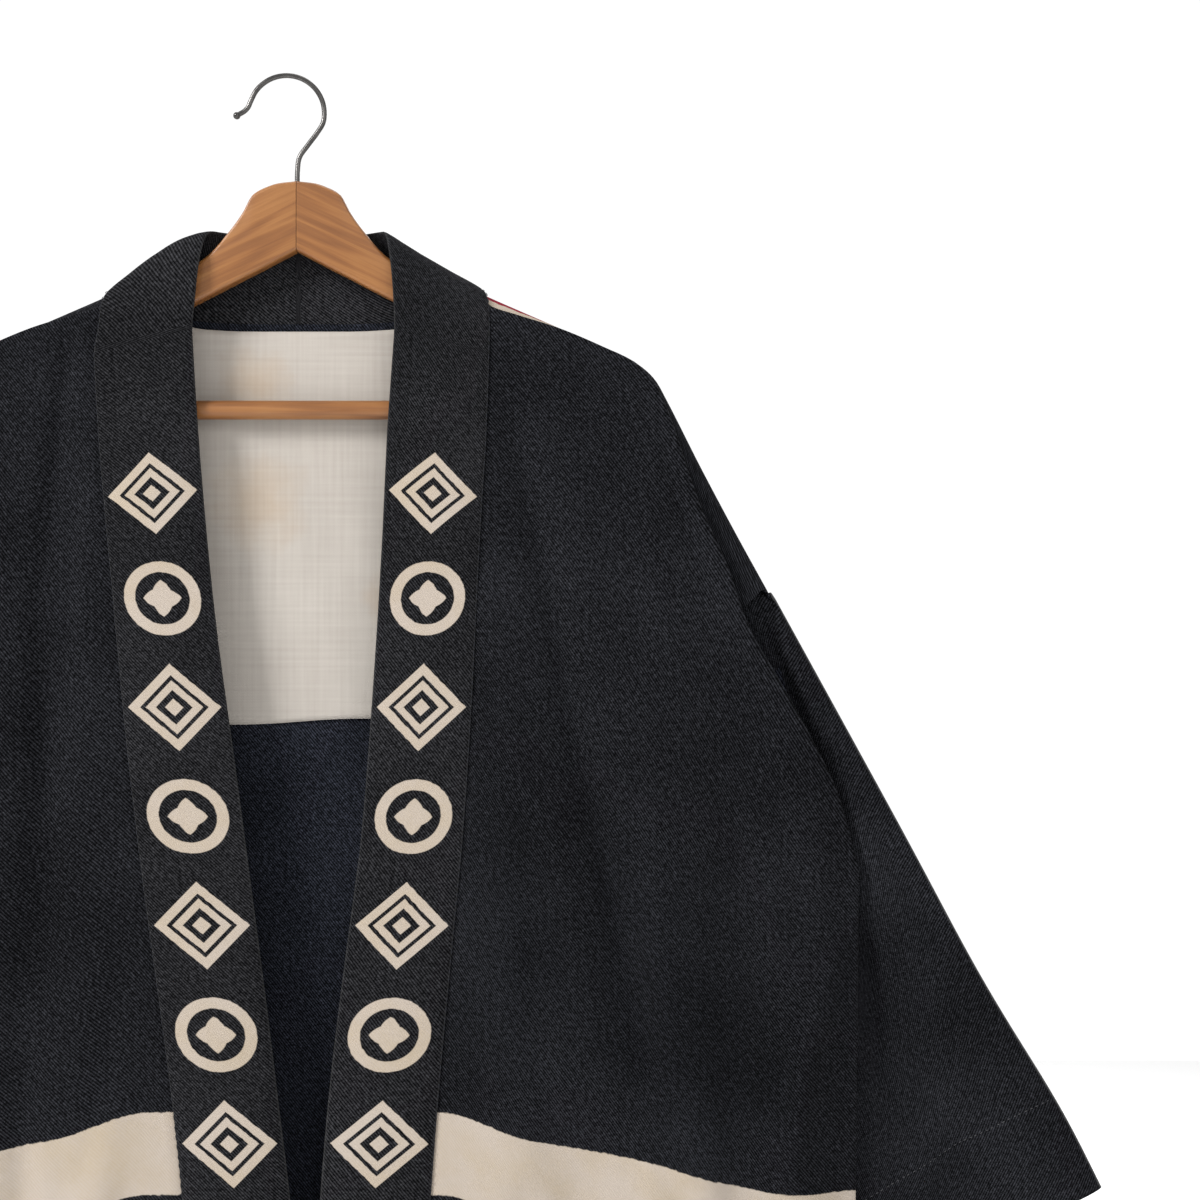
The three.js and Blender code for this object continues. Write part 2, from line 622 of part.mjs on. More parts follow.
const hangerBar = () => rod(BAR.radius, [-BAR.reach, barY, BAR.z], [BAR.reach, barY, BAR.z], 24);

// The hook: straight up from the head, round the loop, and a small turned-out tip with a ball
function hangerHook() {
  const crown = HOOK.wire;
  const cx = -SHANK_X;
  const cz = crown - HOOK.loop;
  const turn = (degrees) => {
    const angle = THREE.MathUtils.degToRad(degrees);
    return vec(cx + HOOK.loop * Math.cos(angle), 0, cz + HOOK.loop * Math.sin(angle));
  };
  const route = [
    vec(0, 0, SHANK_END),
    vec(0, 0, -70),
    vec(0, 0, -54),
    vec(1.2, 0, -46),
    vec(6, 0, -39),
    vec(11.6, 0, -31.5),
    turn(-12),
    turn(15),
    turn(40),
    turn(65),
    turn(90),
    turn(115),
    turn(140),
    turn(163),
    vec(-28.4, 0, -16.4),
    vec(-30.6, 0, -19),
    vec(-34.6, 0, -21.4),
  ];
  const path = new THREE.CatmullRomCurve3(route, false, "centripetal");
  const sides = 8;
  const section = new THREE.Shape(
    Array.from({ length: sides }, (_, i) => {
      const angle = (i / sides) * Math.PI * 2;
      return new THREE.Vector2(Math.cos(angle) * HOOK.wire, Math.sin(angle) * HOOK.wire);
    }),
  );
  const wire = new THREE.ExtrudeGeometry(section, { steps: 40, bevelEnabled: false, extrudePath: path });
  const ball = new THREE.SphereGeometry(HOOK.wire * 1.45, 12, 8);
  ball.translate(-35.2, 0, -21.8);
  return geometryFrom(solidOf(wire).add(solidOf(ball)));
}

// Finishes
const dyedCotton = new THREE.MeshStandardMaterial({ color: 0x24262b, roughness: 0.95, metalness: 0 });
const collarCotton = new THREE.MeshStandardMaterial({ color: 0x26282b, roughness: 0.95, metalness: 0 });
const undyedCotton = new THREE.MeshStandardMaterial({ color: 0xd9d0c6, roughness: 0.95, metalness: 0 });
const beech = new THREE.MeshStandardMaterial({ color: 0xb9794a, roughness: 0.5, metalness: 0 });
const steel = new THREE.MeshStandardMaterial({ color: 0x8a8784, roughness: 0.3, metalness: 1 });

function piece(name, geometry, material) {
  const mesh = new THREE.Mesh(geometry, material);
  mesh.name = name;
  return mesh;
}

const jacket = new THREE.Group();
jacket.add(piece("back", backPanel(), dyedCotton));
jacket.add(piece("front_left", frontPanel(1), dyedCotton));
jacket.add(piece("front_right", frontPanel(-1), dyedCotton));
jacket.add(piece("sleeve_left", sleeve(1), dyedCotton));
jacket.add(piece("sleeve_right", sleeve(-1), dyedCotton));
jacket.add(piece("collar", collar(), collarCotton));
jacket.add(piece("lining", lining(), undyedCotton));

const hanger = new THREE.Group();
hanger.add(piece("hanger_half_left", hangerHalf(1), beech));
hanger.add(piece("hanger_half_right", hangerHalf(-1), beech));
hanger.add(piece("hanger_bar", hangerBar(), beech));
hanger.add(piece("hanger_hook", hangerHook(), steel));

const hung = new THREE.Group();
hung.add(jacket, hanger);
hung.position.x = SHANK_X;

export default hung;
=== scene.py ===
import math

import bmesh
import bpy
import numpy as np
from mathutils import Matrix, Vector


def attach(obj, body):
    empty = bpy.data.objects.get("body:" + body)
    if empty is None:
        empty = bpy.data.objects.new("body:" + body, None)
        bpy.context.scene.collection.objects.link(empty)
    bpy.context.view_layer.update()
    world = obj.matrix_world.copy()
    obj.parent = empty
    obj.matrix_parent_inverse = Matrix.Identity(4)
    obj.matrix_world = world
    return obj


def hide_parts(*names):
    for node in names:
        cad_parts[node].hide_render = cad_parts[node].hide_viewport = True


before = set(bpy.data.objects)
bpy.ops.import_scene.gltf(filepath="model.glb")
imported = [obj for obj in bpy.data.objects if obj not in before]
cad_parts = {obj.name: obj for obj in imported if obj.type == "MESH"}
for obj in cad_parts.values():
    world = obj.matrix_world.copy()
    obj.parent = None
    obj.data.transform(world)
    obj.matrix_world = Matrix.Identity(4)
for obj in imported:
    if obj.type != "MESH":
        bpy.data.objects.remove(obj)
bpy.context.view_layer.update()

# Sizes are in millimetres about the hook's shank, as in the CAD.
# placed() turns them into metres in the row frame.
MM = 0.001
SHANK_X = 6.4
CLOTH = 1.0
LINING_CLOTH = 0.6
COLLAR_CLOTH = 3
HANGER_REACH = 206
HANGER_SWEEP = 3
WOOD = 12
HALF_DEPTH_AT_RIDGE = 9.5
WOOD_TIP_SHARE = 0.72
HEM_AT_CENTRE = -890
HEM_DROP = 51.94
HEM_LEVEL_TO = 40
HEM_FALL = 300
SIDE_X = 325
HEM_SIDE_X = 320
# The back panel turns over the shoulder from the neck's edge to the shoulder's end
NECK_EDGE_X = 96
SHOULDER_END_X = 274
# How far the back panel rises above the collar's seam line at the neck
NECK_RAISED = 4
CENTRE_SEAM_DEPTH = 0.7
CENTRE_SEAM_HALF = 1.3
# The height where the armhole ends and the side seam begins, and about how long the seam is
ARMHOLE_LOW = -464
SIDE_SEAM_LENGTH = 470
# How near the front's turned edge comes to the back panel, and how far it bulges outwards
SEAM_GAP = 0.2
SEAM_BULGE = 0.5
# How far each front reaches under the collar
FRONT_UNDER_COLLAR = 5
# Depth of the back panel where it hangs free, and of both panels at the side seam
BACK_FREE_Y = 8.6
BACK_SIDE_Y = 0.6
FRONT_SIDE_Y = -2.6
SLEEVE_LENGTH = 385
CUFF_TOP = (465.7, -645)
CUFF_DIRECTION = (-0.905, -0.425)
CUFF_OPENING = 250
CUFF_HEM = 0.848
# The height where the collar leaves the neck and the lapels begin, and the folded band's size from there down
LAPEL_TOP = -146
COLLAR_WIDTH = 56
LAPEL_LENGTH = 740
LINING_REACH = 198
LINING_BOTTOM = -374
BAR_Z = -193
BAR_RADIUS = 5.5
BAR_REACH = 188
HOOK_WIRE = 1.5
HOOK_LOOP = 22
HOOK_BALL = (-35.2, -21.8)
HOOK_BALL_RADIUS = HOOK_WIRE * 1.45

# The dyed cream band round the body, and the disc on the back, in the cloth's own cut heights
BAND_TOP = -596
BAND_BOTTOM = -643
DISC = (14, -335)
DISC_RADIUS = 243
DISC_RING = 236.4
# The row of figures on each lapel: height of one, first height, last height
MOTIF_PITCH = 62.3
MOTIFS_FROM = -208.5
MOTIFS_TO = -644.5
# Where rows of stitches run, as shares of a panel's rows or of the collar's width
FRONT_HEM_ROW = 0.986
BACK_HEM_ROW = 0.988
COLLAR_SEAM_SHARE = 0.05

FLOOR_Z = -1.15
BACKDROP_Y = 2.6
# The jacket's middle, where the lights point
LIGHT_AIM = (0.02, 0, -0.45)
# Soft lights: name, place, size, power
LIGHTS = [
    ("key", (-1.6, -1.2, 0.9), 0.7, 58),
    ("fill", (1.0, -2.0, 0.3), 1.8, 14),
    ("top", (0.1, 0.4, 1.6), 1.2, 10),
    ("rear", (0.6, 2.2, 0.4), 1.6, 16),
]

SHOULDER_LINE = [
    (50, -98), (87, -116), (110, -127.5), (128, -135.5), (151, -145.5), (177, -156.6), (193, -164),
    (202, -170.5), (207.6, -176.5), (214, -188), (233.7, -226.8), (254, -265), (273.8, -301),
]
FRONT_EDGE = [
    (100, -122.5), (112, -134), (128, -139.4), (151, -146.7), (177, -157.6), (193, -165.5), (202, -172.5),
    (208, -180), (217.5, -202), (233.7, -248.8), (250, -285.4), (260.4, -316), (278.4, -348.6),
    (295.2, -379.3), (313.2, -416), (325, -458),
]
NECK_SEAM = [(0, -145.8), (28, -145.8), (55, -144.6), (78, -138.6), (95, -132.6), (106, -128.6)]
BACK_TURNOVER = [
    (96, -14), (100, -8), (104, 3), (108, 8), (116, 11), (140, 11), (160, 10), (180, 11), (200, 15),
    (208, 18), (218, 29), (234, 42), (250, 46), (257, 40), (263, 24), (269, 9), (273.8, 0),
]
# The back panel's edge at the armhole, from the top of the sleeve down to the underarm
BACK_ARMHOLE = [(274.4, -303), (277, -326), (284, -356), (295.5, -386), (306, -412), (316, -439), (325, -464)]
# The drop of the weft below level from the middle to the sides
WEFT_DROP = [(0, 0), (83, 0), (135, 15), (205, 28), (280, 47), (325, 49)]
LAPELS = {
    1: [
        (-148, 57.4, 112), (-206, 53.2, 110), (-260, 51, 106.7), (-368, 44.7, 101.5), (-436, 39.4, 97),
        (-503, 30.5, 90.5), (-584, 20.6, 83), (-645, 15.5, 78.4), (-720, 11.5, 73), (-900, 9, 69),
    ],
    -1: [
        (-148, 59, 115.5), (-200, 55.7, 112.5), (-304, 45.8, 102.5), (-391, 34, 94), (-467, 24, 85),
        (-536, 15, 75.5), (-607, 6.4, 66.5), (-652, 0.8, 62), (-720, -3, 58), (-900, -4.5, 56),
    ],
}
# The collar round the neck: neck edge, then seam edge
COLLAR_ROUND_NECK = [
    (0, 10.6, -90, 0, 10.6, -145), (14, 10.6, -90, 16, 10.6, -145), (28, 10.5, -89.5, 33, 10.6, -144.9),
    (38, 9.8, -89, 52, 10.4, -144), (44.5, 7, -88.5, 70, 9.9, -140.6), (48, 4.2, -88.5, 87, 10, -133.6),
    (50, 0.2, -89, 98.5, 8.4, -127.2), (51.3, -4.2, -91, 105, 3.4, -123.4),
    (52.6, -8, -95, 108.8, -3, -123.6), (54, -10.6, -102, 110.8, -8.4, -128),
    (55.6, -12.2, -113, 112, -11.6, -135), (56.8, -13.2, -128, 112.4, -13, -146),
]
# Soft folds: top x, z and bottom x, z, depth towards the back (a ridge is negative), half-width
FRONT_FOLDS = {
    1: [
        (116, -150, 208, -610, 5, 14), (112, -330, 138, -760, -4, 24), (212, -380, 240, -790, -4.5, 24),
        (262, -340, 284, -900, 6, 22), (318, -462, 280, -650, -3, 10), (160, -590, 172, -980, 6, 20),
        (214, -700, 226, -1000, -6, 24), (112, -700, 116, -1000, -4, 18),
        (150, -240, 178, -520, -1.2, 8), (176, -300, 262, -352, 0.9, 5), (238, -470, 268, -700, 1.4, 9),
        (128, -420, 150, -640, 1.2, 7), (190, -180, 236, -420, -1.1, 12), (300, -420, 276, -560, 1.6, 8),
        (290, -560, 262, -700, -1.6, 9), (182, -612, 262, -640, 0.8, 5), (214, -520, 214, -700, 1.2, 8),
    ],
    -1: [
        (126, -146, 146, -560, 5, 12), (162, -260, 186, -720, -4.5, 24), (215, -300, 236, -980, 6, 24),
        (262, -420, 282, -980, -4, 20), (112, -440, 120, -1000, -4, 20), (156, -640, 160, -1000, 5, 20),
        (192, -740, 198, -1020, -5, 20), (150, -400, 158, -600, 1.2, 8), (106, -520, 176, -536, 0.9, 5),
        (186, -200, 200, -420, -1.2, 9), (240, -360, 262, -560, 1.3, 9), (128, -560, 134, -700, 1.1, 7),
        (300, -430, 282, -580, 1.6, 9), (226, -560, 240, -760, -1.2, 9),
    ],
}
BACK_FOLDS = [
    (-262, -330, -276, -1000, -4, 24), (-182, -200, -196, -1000, 4, 30), (-96, -300, -104, -1040, -4, 28),
    (-20, -420, -16, -1040, 3.5, 30), (64, -360, 72, -1040, -4.5, 26), (148, -240, 160, -1040, 4, 30),
    (236, -300, 252, -1000, -4, 26), (-150, -260, -120, -620, 1.4, 9), (110, -480, 128, -800, 1.6, 10),
    (30, -560, 22, -860, -1.4, 9), (-60, -620, -72, -940, 1.5, 10), (200, -330, 190, -640, -1.5, 10),
    (-230, -420, -236, -760, 1.5, 10), (-120, -700, -200, -740, 0.9, 6), (60, -330, 150, -352, 0.8, 6),
]
# Where a sleeve starts, by its place down the armhole: under the front's fold, and on the back panel
SLEEVE_START = {
    -1: [
        (0, 275, -299), (0.04, 266, -299.5), (0.08, 258, -303), (0.14, 252, -313), (0.26, 248, -332),
        (1, 250, -440),
    ],
    1: [(0, 275, -299), (0.06, 272, -312), (1, 254, -440)],
}
# One hanger half from the joint outwards: x, top, bottom
WOOD_SECTIONS = [
    (0.15, -60.5, -101), (10, -61.6, -106.2), (19, -64.6, -111), (25.5, -68.6, -114.3), (31, -78.5, -117.1),
    (38.3, -88.8, -121), (51.6, -103.8, -127.8), (70, -114.5, -137.4), (95, -125.2, -150.4),
    (125, -137.4, -166), (155, -150.2, -182), (174, -158.6, -195), (186, -164.2, -203.5),
    (196, -169.6, -205), (202, -174.6, -202), (205.6, -181.5, -195.5),
]
CREASE_STRENGTH = 1.5
# Narrow creases: top x, z and bottom x, z, depth, half-width
FRONT_CREASES = {
    1: [
        (124, -190, 144, -280, 1.3, 6), (144, -280, 160, -370, 1.7, 6), (160, -370, 187, -489, 2.4, 7),
        (187, -489, 206, -580, 2.2, 8), (112, -300, 140, -420, -1.2, 9), (146, -420, 172, -560, -1.6, 9),
        (206, -470, 226, -600, -1.4, 10), (280, -410, 294, -510, 2.6, 11), (314, -505, 292, -570, -2.4, 5),
        (292, -570, 283, -640, -2.2, 5), (300, -520, 276, -590, 1.6, 5), (181, -312, 260, -327, 0.9, 3.5),
        (238, -380, 262, -470, 1.2, 9), (246, -560, 252, -660, 1.5, 8), (132, -640, 138, -800, 2, 9),
        (222, -640, 232, -860, 2.2, 9), (180, -660, 186, -860, -1.8, 9), (276, -660, 282, -860, 2.2, 8),
        (170, -176, 196, -176, 0.8, 4), (208, -206, 240, -300, 1.1, 5),
    ],
    -1: [
        (129, -147, 140, -234, 1.8, 5), (140, -234, 146, -303, 2, 6), (146, -303, 144, -431, 2, 7),
        (116, -190, 120, -330, -1.1, 7), (168, -250, 176, -400, -1.4, 9), (85, -468, 158, -472, 1, 3.5),
        (100, -520, 122, -640, 1.5, 8), (196, -420, 214, -560, 2, 9), (250, -400, 268, -520, 2.2, 10),
        (312, -500, 290, -600, -2.2, 6), (208, -210, 238, -300, 1.1, 5), (152, -560, 160, -800, 2, 9),
        (230, -640, 238, -860, 2, 9), (190, -660, 194, -860, -1.8, 9), (96, -640, 98, -840, 1.6, 9),
    ],
}
SLEEVE_CREASES = [
    (336, -440, 374, -500, 2.2, 6), (356, -430, 392, -500, -1.5, 8), (330, -500, 342, -600, 2.2, 7),
    (356, -560, 396, -640, 1.4, 7), (306, -380, 330, -430, 1.6, 5), (372, -600, 352, -700, -1.6, 8),
    (300, -640, 318, -720, 2, 8), (290, -480, 296, -560, 1.6, 7),
]
# Folds of a sleeve: girth place and length place at both ends, depth, half-width as a share of the girth
SLEEVE_FOLDS = [
    (0.34, -0.1, 0.22, 1.2, 3, 0.09), (0.62, 0.05, 0.5, 1.2, -2.5, 0.12), (0.86, 0.3, 0.76, 1.3, 3, 0.09),
    (0.2, 0.25, 0.12, 0.9, 1.1, 0.035), (0.46, 0.3, 0.38, 1.0, -1.2, 0.04), (0.7, 0.2, 0.64, 0.8, 1.1, 0.04),
]


def lerp(a, b, t):
    return a + (b - a) * t


def smooth(t):
    c = np.clip(t, 0, 1)
    return c * c * (3 - 2 * c)


def curve(rows, along=0, value=1):
    """A smooth curve through a table's rows that never overshoots them."""
    p = np.array([r[along] for r in rows], float)
    q = np.array([r[value] for r in rows], float)
    if p[-1] < p[0]:
        p, q = p[::-1], q[::-1]
    h = np.diff(p)
    slope = np.diff(q) / h
    bend = np.concatenate([slope[:1], np.zeros(len(p) - 2), slope[-1:]])
    for i in range(1, len(p) - 1):
        if slope[i - 1] * slope[i] > 0:
            bend[i] = 2 * slope[i - 1] * slope[i] / (slope[i - 1] + slope[i])

    def at(x):
        x = np.asarray(x, float)
        i = np.clip(np.searchsorted(p, x, side="right") - 1, 0, len(p) - 2)
        t = np.clip((x - p[i]) / h[i], 0, 1)
        t2, t3 = t * t, t * t * t
        return (
            (2 * t3 - 3 * t2 + 1) * q[i]
            + (t3 - 2 * t2 + t) * h[i] * bend[i]
            + (3 * t2 - 2 * t3) * q[i + 1]
            + (t3 - t2) * h[i] * bend[i + 1]
        )

    return at


shoulder_z = curve(SHOULDER_LINE)
front_edge_z = curve(FRONT_EDGE)
neck_seam_z = curve(NECK_SEAM)
turnover = curve(BACK_TURNOVER)
weft_drop = curve(WEFT_DROP)
armhole_z = curve(BACK_ARMHOLE)
armhole_x = curve(BACK_ARMHOLE, 1, 0)


def fold_depth(folds, x, z):
    """Soft folds along straight stretches, added up at a point."""
    total = np.zeros(np.broadcast(x, z).shape)
    for x0, z0, x1, z1, depth, width in folds:
        t = (z - z0) / (z1 - z0)
        off = (x - lerp(x0, x1, t)) / width
        total = total + depth * np.exp(-off * off) * smooth(t / 0.25) * smooth((1 - t) / 0.2)
    return total


def crease_depth(creases, x, z):
    """Narrow creases along straight stretches, each fading at its two ends."""
    total = np.zeros(np.broadcast(x, z).shape)
    for x0, z0, x1, z1, depth, width in creases:
        run = np.hypot(x1 - x0, z1 - z0)
        along = ((x - x0) * (x1 - x0) + (z - z0) * (z1 - z0)) / run
        aside = ((x - x0) * (z1 - z0) - (z - z0) * (x1 - x0)) / run
        ends = smooth((along + 14) / 28) * smooth((run + 14 - along) / 28)
        total = total + depth * np.exp(-(aside / width) ** 2) * ends
    return total * CREASE_STRENGTH


def wood_y(x):
    """The hanger's arms sweep forwards to their tips."""
    return -HANGER_SWEEP * np.minimum(1, np.abs(x) / HANGER_REACH) ** 1.6


def half_depth(x):
    return HALF_DEPTH_AT_RIDGE * lerp(1, WOOD_TIP_SHARE, smooth((np.abs(x) - HANGER_REACH) / 40))


def hem_z(x):
    return HEM_AT_CENTRE - HEM_DROP * smooth((np.abs(x) - HEM_LEVEL_TO) / HEM_FALL)


def back_y(x, z):
    """The depth of the back panel: on the hanger at the top, free below it, thin at the sides."""
    ax = np.abs(x)
    below = np.maximum(0, shoulder_z(np.minimum(ax, SHOULDER_END_X - 1)) - z)
    near = wood_y(x) + half_depth(x)
    plain = lerp(near, BACK_FREE_Y, smooth((below - 12) / 90))
    side = smooth((ax - 215) / (SIDE_X - 215))
    folds = fold_depth(BACK_FOLDS, x, z) * (1 - side) * smooth(below / 200)
    return lerp(plain, BACK_SIDE_Y, side) + folds * 0.6


def front_y(x, z, folds):
    """The depth of a front panel, which falls forwards of the hanger and back to the side seam."""
    ax = np.abs(x)
    below = np.maximum(0, front_edge_z(np.minimum(ax, SIDE_X)) - z)
    start = wood_y(x) - HALF_DEPTH_AT_RIDGE - lerp(1.4, 2.6, smooth((ax - 196) / 12))
    full = start - 6 * smooth(below / 260) - 3 * smooth((-z - 500) / 400)
    edge = smooth((ax - 283) / (SIDE_X - 283))
    low = smooth((-z - 300) / 160)
    return lerp(full, FRONT_SIDE_Y, edge * low) + fold_depth(folds, ax, z) * (1 - edge * 0.8)


def cut_height(x, z):
    """The height on the cloth as it was cut, before its sides hung lower than its middle."""
    return z + weft_drop(np.minimum(np.abs(x), SIDE_X)) * smooth((-z - 180) / 300)


def placed(points):
    """Millimetres about the shank to metres in the row frame."""
    out = np.array(points, float).reshape(-1, 3)
    out[:, 0] += SHANK_X
    return out * MM


def grid_normals(grid):
    """The outward normal at each point of a grid."""
    down, across = np.gradient(grid, axis=(0, 1))
    n = np.cross(across, down)
    return n / np.maximum(np.linalg.norm(n, axis=2, keepdims=True), 1e-9)


def build(name, points, faces, uvs=None, slots=None, materials=()):
    """A mesh object from metres, with a UV per vertex and a material slot per face."""
    mesh = bpy.data.meshes.new(name)
    mesh.from_pydata([tuple(p) for p in points], [], faces)
    if uvs is not None:
        layer = mesh.uv_layers.new(name="cut")
        index = np.empty(len(mesh.loops), int)
        mesh.loops.foreach_get("vertex_index", index)
        layer.data.foreach_set("uv", np.asarray(uvs, float)[index].ravel())
    for m in materials:
        mesh.materials.append(m)
    if slots is not None:
        mesh.polygons.foreach_set("material_index", np.asarray(slots, int))
    mesh.polygons.foreach_set("use_smooth", [True] * len(mesh.polygons))
    mesh.update()
    mesh.validate()
    obj = bpy.data.objects.new(name, mesh)
    bpy.context.scene.collection.objects.link(obj)
    return obj


def shell(name, grid, uv, thickness, materials, closed=False):
    """A closed thin wall about a grid of middle points: outside and edges in slot 0, inside in slot 1."""
    rows, cols = grid.shape[:2]
    if closed:
        ring = np.concatenate([grid[:, -1:], grid, grid[:, :1]], axis=1)
        n = grid_normals(ring)[:, 1:-1]
    else:
        n = grid_normals(grid)
    half = np.broadcast_to(np.asarray(thickness, float), (rows, cols))[..., None] / 2
    points = np.concatenate([(grid + n * half).reshape(-1, 3), (grid - n * half).reshape(-1, 3)])
    uvs = np.tile(uv.reshape(-1, 2), (2, 1))
    back = rows * cols
    wide = cols if closed else cols - 1
    faces, slots = [], []
    edges = {}
    for i in range(rows - 1):
        for j in range(wide):
            a, b = i * cols + j, i * cols + (j + 1) % cols
            c, d = b + cols, a + cols
            faces.append((a, d, c, b))
            faces.append((back + a, back + b, back + c, back + d))
            slots += [0, 1]
            edges.update(dict.fromkeys(((a, d), (d, c), (c, b), (b, a))))
    for a, b in edges:
        if (b, a) not in edges:
            faces.append((b, a, back + a, back + b))
            slots.append(0)
    return build(name, placed(points), faces, uvs * MM, slots, materials)


class Field:
    """A value in a material's node tree, so that patterns read as formulas."""

    def __init__(self, tree, socket):
        self.tree, self.socket = tree, socket

    def op(self, kind, *others):
        node = self.tree.nodes.new("ShaderNodeMath")
        node.operation = kind
        for place, value in enumerate((self,) + others):
            if isinstance(value, Field):
                self.tree.links.new(value.socket, node.inputs[place])
            else:
                node.inputs[place].default_value = value
        return Field(self.tree, node.outputs[0])

    def __add__(self, other):
        return self.op("ADD", other)

    def __sub__(self, other):
        return self.op("SUBTRACT", other)

    def __mul__(self, other):
        return self.op("MULTIPLY", other)

    def abs(self):
        return self.op("ABSOLUTE")

    def max(self, other):
        return self.op("MAXIMUM", other)

    def sin(self):
        return self.op("SINE")

    def floor(self):
        return self.op("FLOOR")

    def mod(self, other):
        return self.op("FLOORED_MODULO", other)

    def root(self):
        return self.op("SQRT")

    def clamp(self):
        node = self.tree.nodes.new("ShaderNodeClamp")
        self.tree.links.new(self.socket, node.inputs[0])
        return Field(self.tree, node.outputs[0])

    def below(self, edge, soft):
        """1 where the value is under edge, fading over soft."""
        return ((self * -1 + edge) * (1 / soft) + 0.5).clamp()

    def band(self, middle, half, soft):
        return (self - middle).abs().below(half, soft)


def distance(x, y):
    """How far a point given by two fields lies from the origin."""
    return (x * x + y * y).root()


def set_inputs(node, values):
    for name, value in values.items():
        node.inputs[name].default_value = value


class Material:
    """A Principled material with short ways to add noise, mixes and bump."""

    def __init__(self, name, roughness, specular=0.2, metallic=0.0, sheen=0.0, coat=0.0):
        self.data = bpy.data.materials.new(name)
        self.data.use_nodes = True
        self.tree = self.data.node_tree
        self.shader = self.tree.nodes["Principled BSDF"]
        set_inputs(self.shader, {
            "Roughness": roughness, "Specular IOR Level": specular, "Metallic": metallic,
            "Sheen Weight": sheen, "Sheen Roughness": 0.6, "Coat Weight": coat, "Coat Roughness": 0.25,
        })

    def link(self, a, b):
        self.tree.links.new(a, b)

    def node(self, kind):
        return self.tree.nodes.new("ShaderNode" + kind)

    def uv(self):
        node = self.node("UVMap")
        node.uv_map = "cut"
        return node.outputs[0]

    def cut(self):
        """The place on the cut cloth, in millimetres: across, along."""
        apart = self.node("SeparateXYZ")
        self.link(self.uv(), apart.inputs[0])
        across = Field(self.tree, apart.outputs[0]) * (1 / MM)
        along = Field(self.tree, apart.outputs[1]) * (1 / MM)
        return across, along

    def coordinates(self, stretch=(1, 1, 1), turn=0.0, from_cut=False):
        """Positions in metres, stretched for grain, or the cut cloth's own."""
        socket = self.uv() if from_cut else self.node("TexCoord").outputs["Object"]
        turned = self.node("Mapping")
        turned.inputs["Rotation"].default_value = (0, 0, turn) if from_cut else (0, turn, 0)
        self.link(socket, turned.inputs[0])
        stretched = self.node("Mapping")
        stretched.inputs["Scale"].default_value = stretch
        self.link(turned.outputs[0], stretched.inputs[0])
        return stretched.outputs[0]

    def noise(self, where, scale, detail=3.0, roughness=0.55):
        node = self.node("TexNoise")
        set_inputs(node, {"Scale": scale, "Detail": detail, "Roughness": roughness})
        self.link(where, node.inputs["Vector"])
        return Field(self.tree, node.outputs["Fac"])

    def ramp(self, value, stops):
        """A colour, from a value and (place, colour) stops."""
        node = self.node("ValToRGB")
        ramp = node.color_ramp
        while len(ramp.elements) < len(stops):
            ramp.elements.new(0.5)
        for element, (place, colour) in zip(ramp.elements, stops):
            element.position = place
            element.color = (*colour, 1)
        self.link(value.socket, node.inputs[0])
        return node.outputs[0]

    def mix(self, share, a, b):
        """Colour a where share is 0, colour b where it is 1."""
        node = self.node("Mix")
        node.data_type = "RGBA"
        self.link(share.socket, node.inputs["Factor"])
        for side, colour in (("A", a), ("B", b)):
            socket = [i for i in node.inputs if i.name == side and i.type == "RGBA"][0]
            if isinstance(colour, tuple):
                socket.default_value = (*colour, 1)
            else:
                self.link(colour, socket)
        return [o for o in node.outputs if o.type == "RGBA"][0]

    def paint(self, colour):
        self.link(colour, self.shader.inputs["Base Color"])

    def rough(self, value):
        self.link(value.socket, self.shader.inputs["Roughness"])

    def bump(self, height, distance, strength=1.0):
        """height is a Field; distance in metres."""
        node = self.node("Bump")
        set_inputs(node, {"Strength": strength, "Distance": distance})
        self.link(height.socket, node.inputs["Height"])
        self.link(node.outputs[0], self.shader.inputs["Normal"])


def linear(r, g, b):
    """An sRGB colour from 0 to 255 as the linear one that Blender takes."""
    return tuple(((c / 255 + 0.055) / 1.055) ** 2.4 if c > 10 else c / 255 / 12.92 for c in (r, g, b))


# The twill's wales: spacing, slope and how much wider they are drawn. Then the plain weave's spacing.
TWILL_PITCH = 1.4
WALE_SLOPE = 0.82
WALE_STRETCH = 1.29
WEAVE_PITCH = 0.95
# How softly dyed and printed edges fade, in millimetres
DYE_EDGE = 0.7
PRINT_EDGE = 0.5
CREAM = linear(172, 161, 150)
CREAM_STAIN = linear(166, 152, 132)
RED = linear(120, 26, 42)


def motif_cell(across, along):
    """Generic dyed figures in a row: nested lozenges, then a ring round a flower of two crossed lenses."""
    row = (along * -1 + MOTIFS_FROM) * (1 / MOTIF_PITCH)
    y = (row - row.floor() - 0.5) * MOTIF_PITCH
    lozenge = across.abs() + y.abs()
    frame_lines = lozenge.band(21.6, 3.3, PRINT_EDGE).max(lozenge.band(12.6, 2.7, PRINT_EDGE))
    nest = frame_lines.max(lozenge.below(5, PRINT_EDGE))
    radius = distance(across, y)
    ring = radius.band(18.2, 3.1, PRINT_EDGE)
    reach = 12.4
    off = 6.6
    petals = None
    for sx, sy in ((1, 0), (0, 1)):
        first = distance(across + off * sx, y + off * sy)
        second = distance(across - off * sx, y - off * sy)
        lens = first.max(second).below(reach, PRINT_EDGE)
        petals = lens if petals is None else petals.max(lens)
    flower = ring.max(petals)
    odd = row.floor().mod(2.0)
    return nest + (flower - nest) * odd


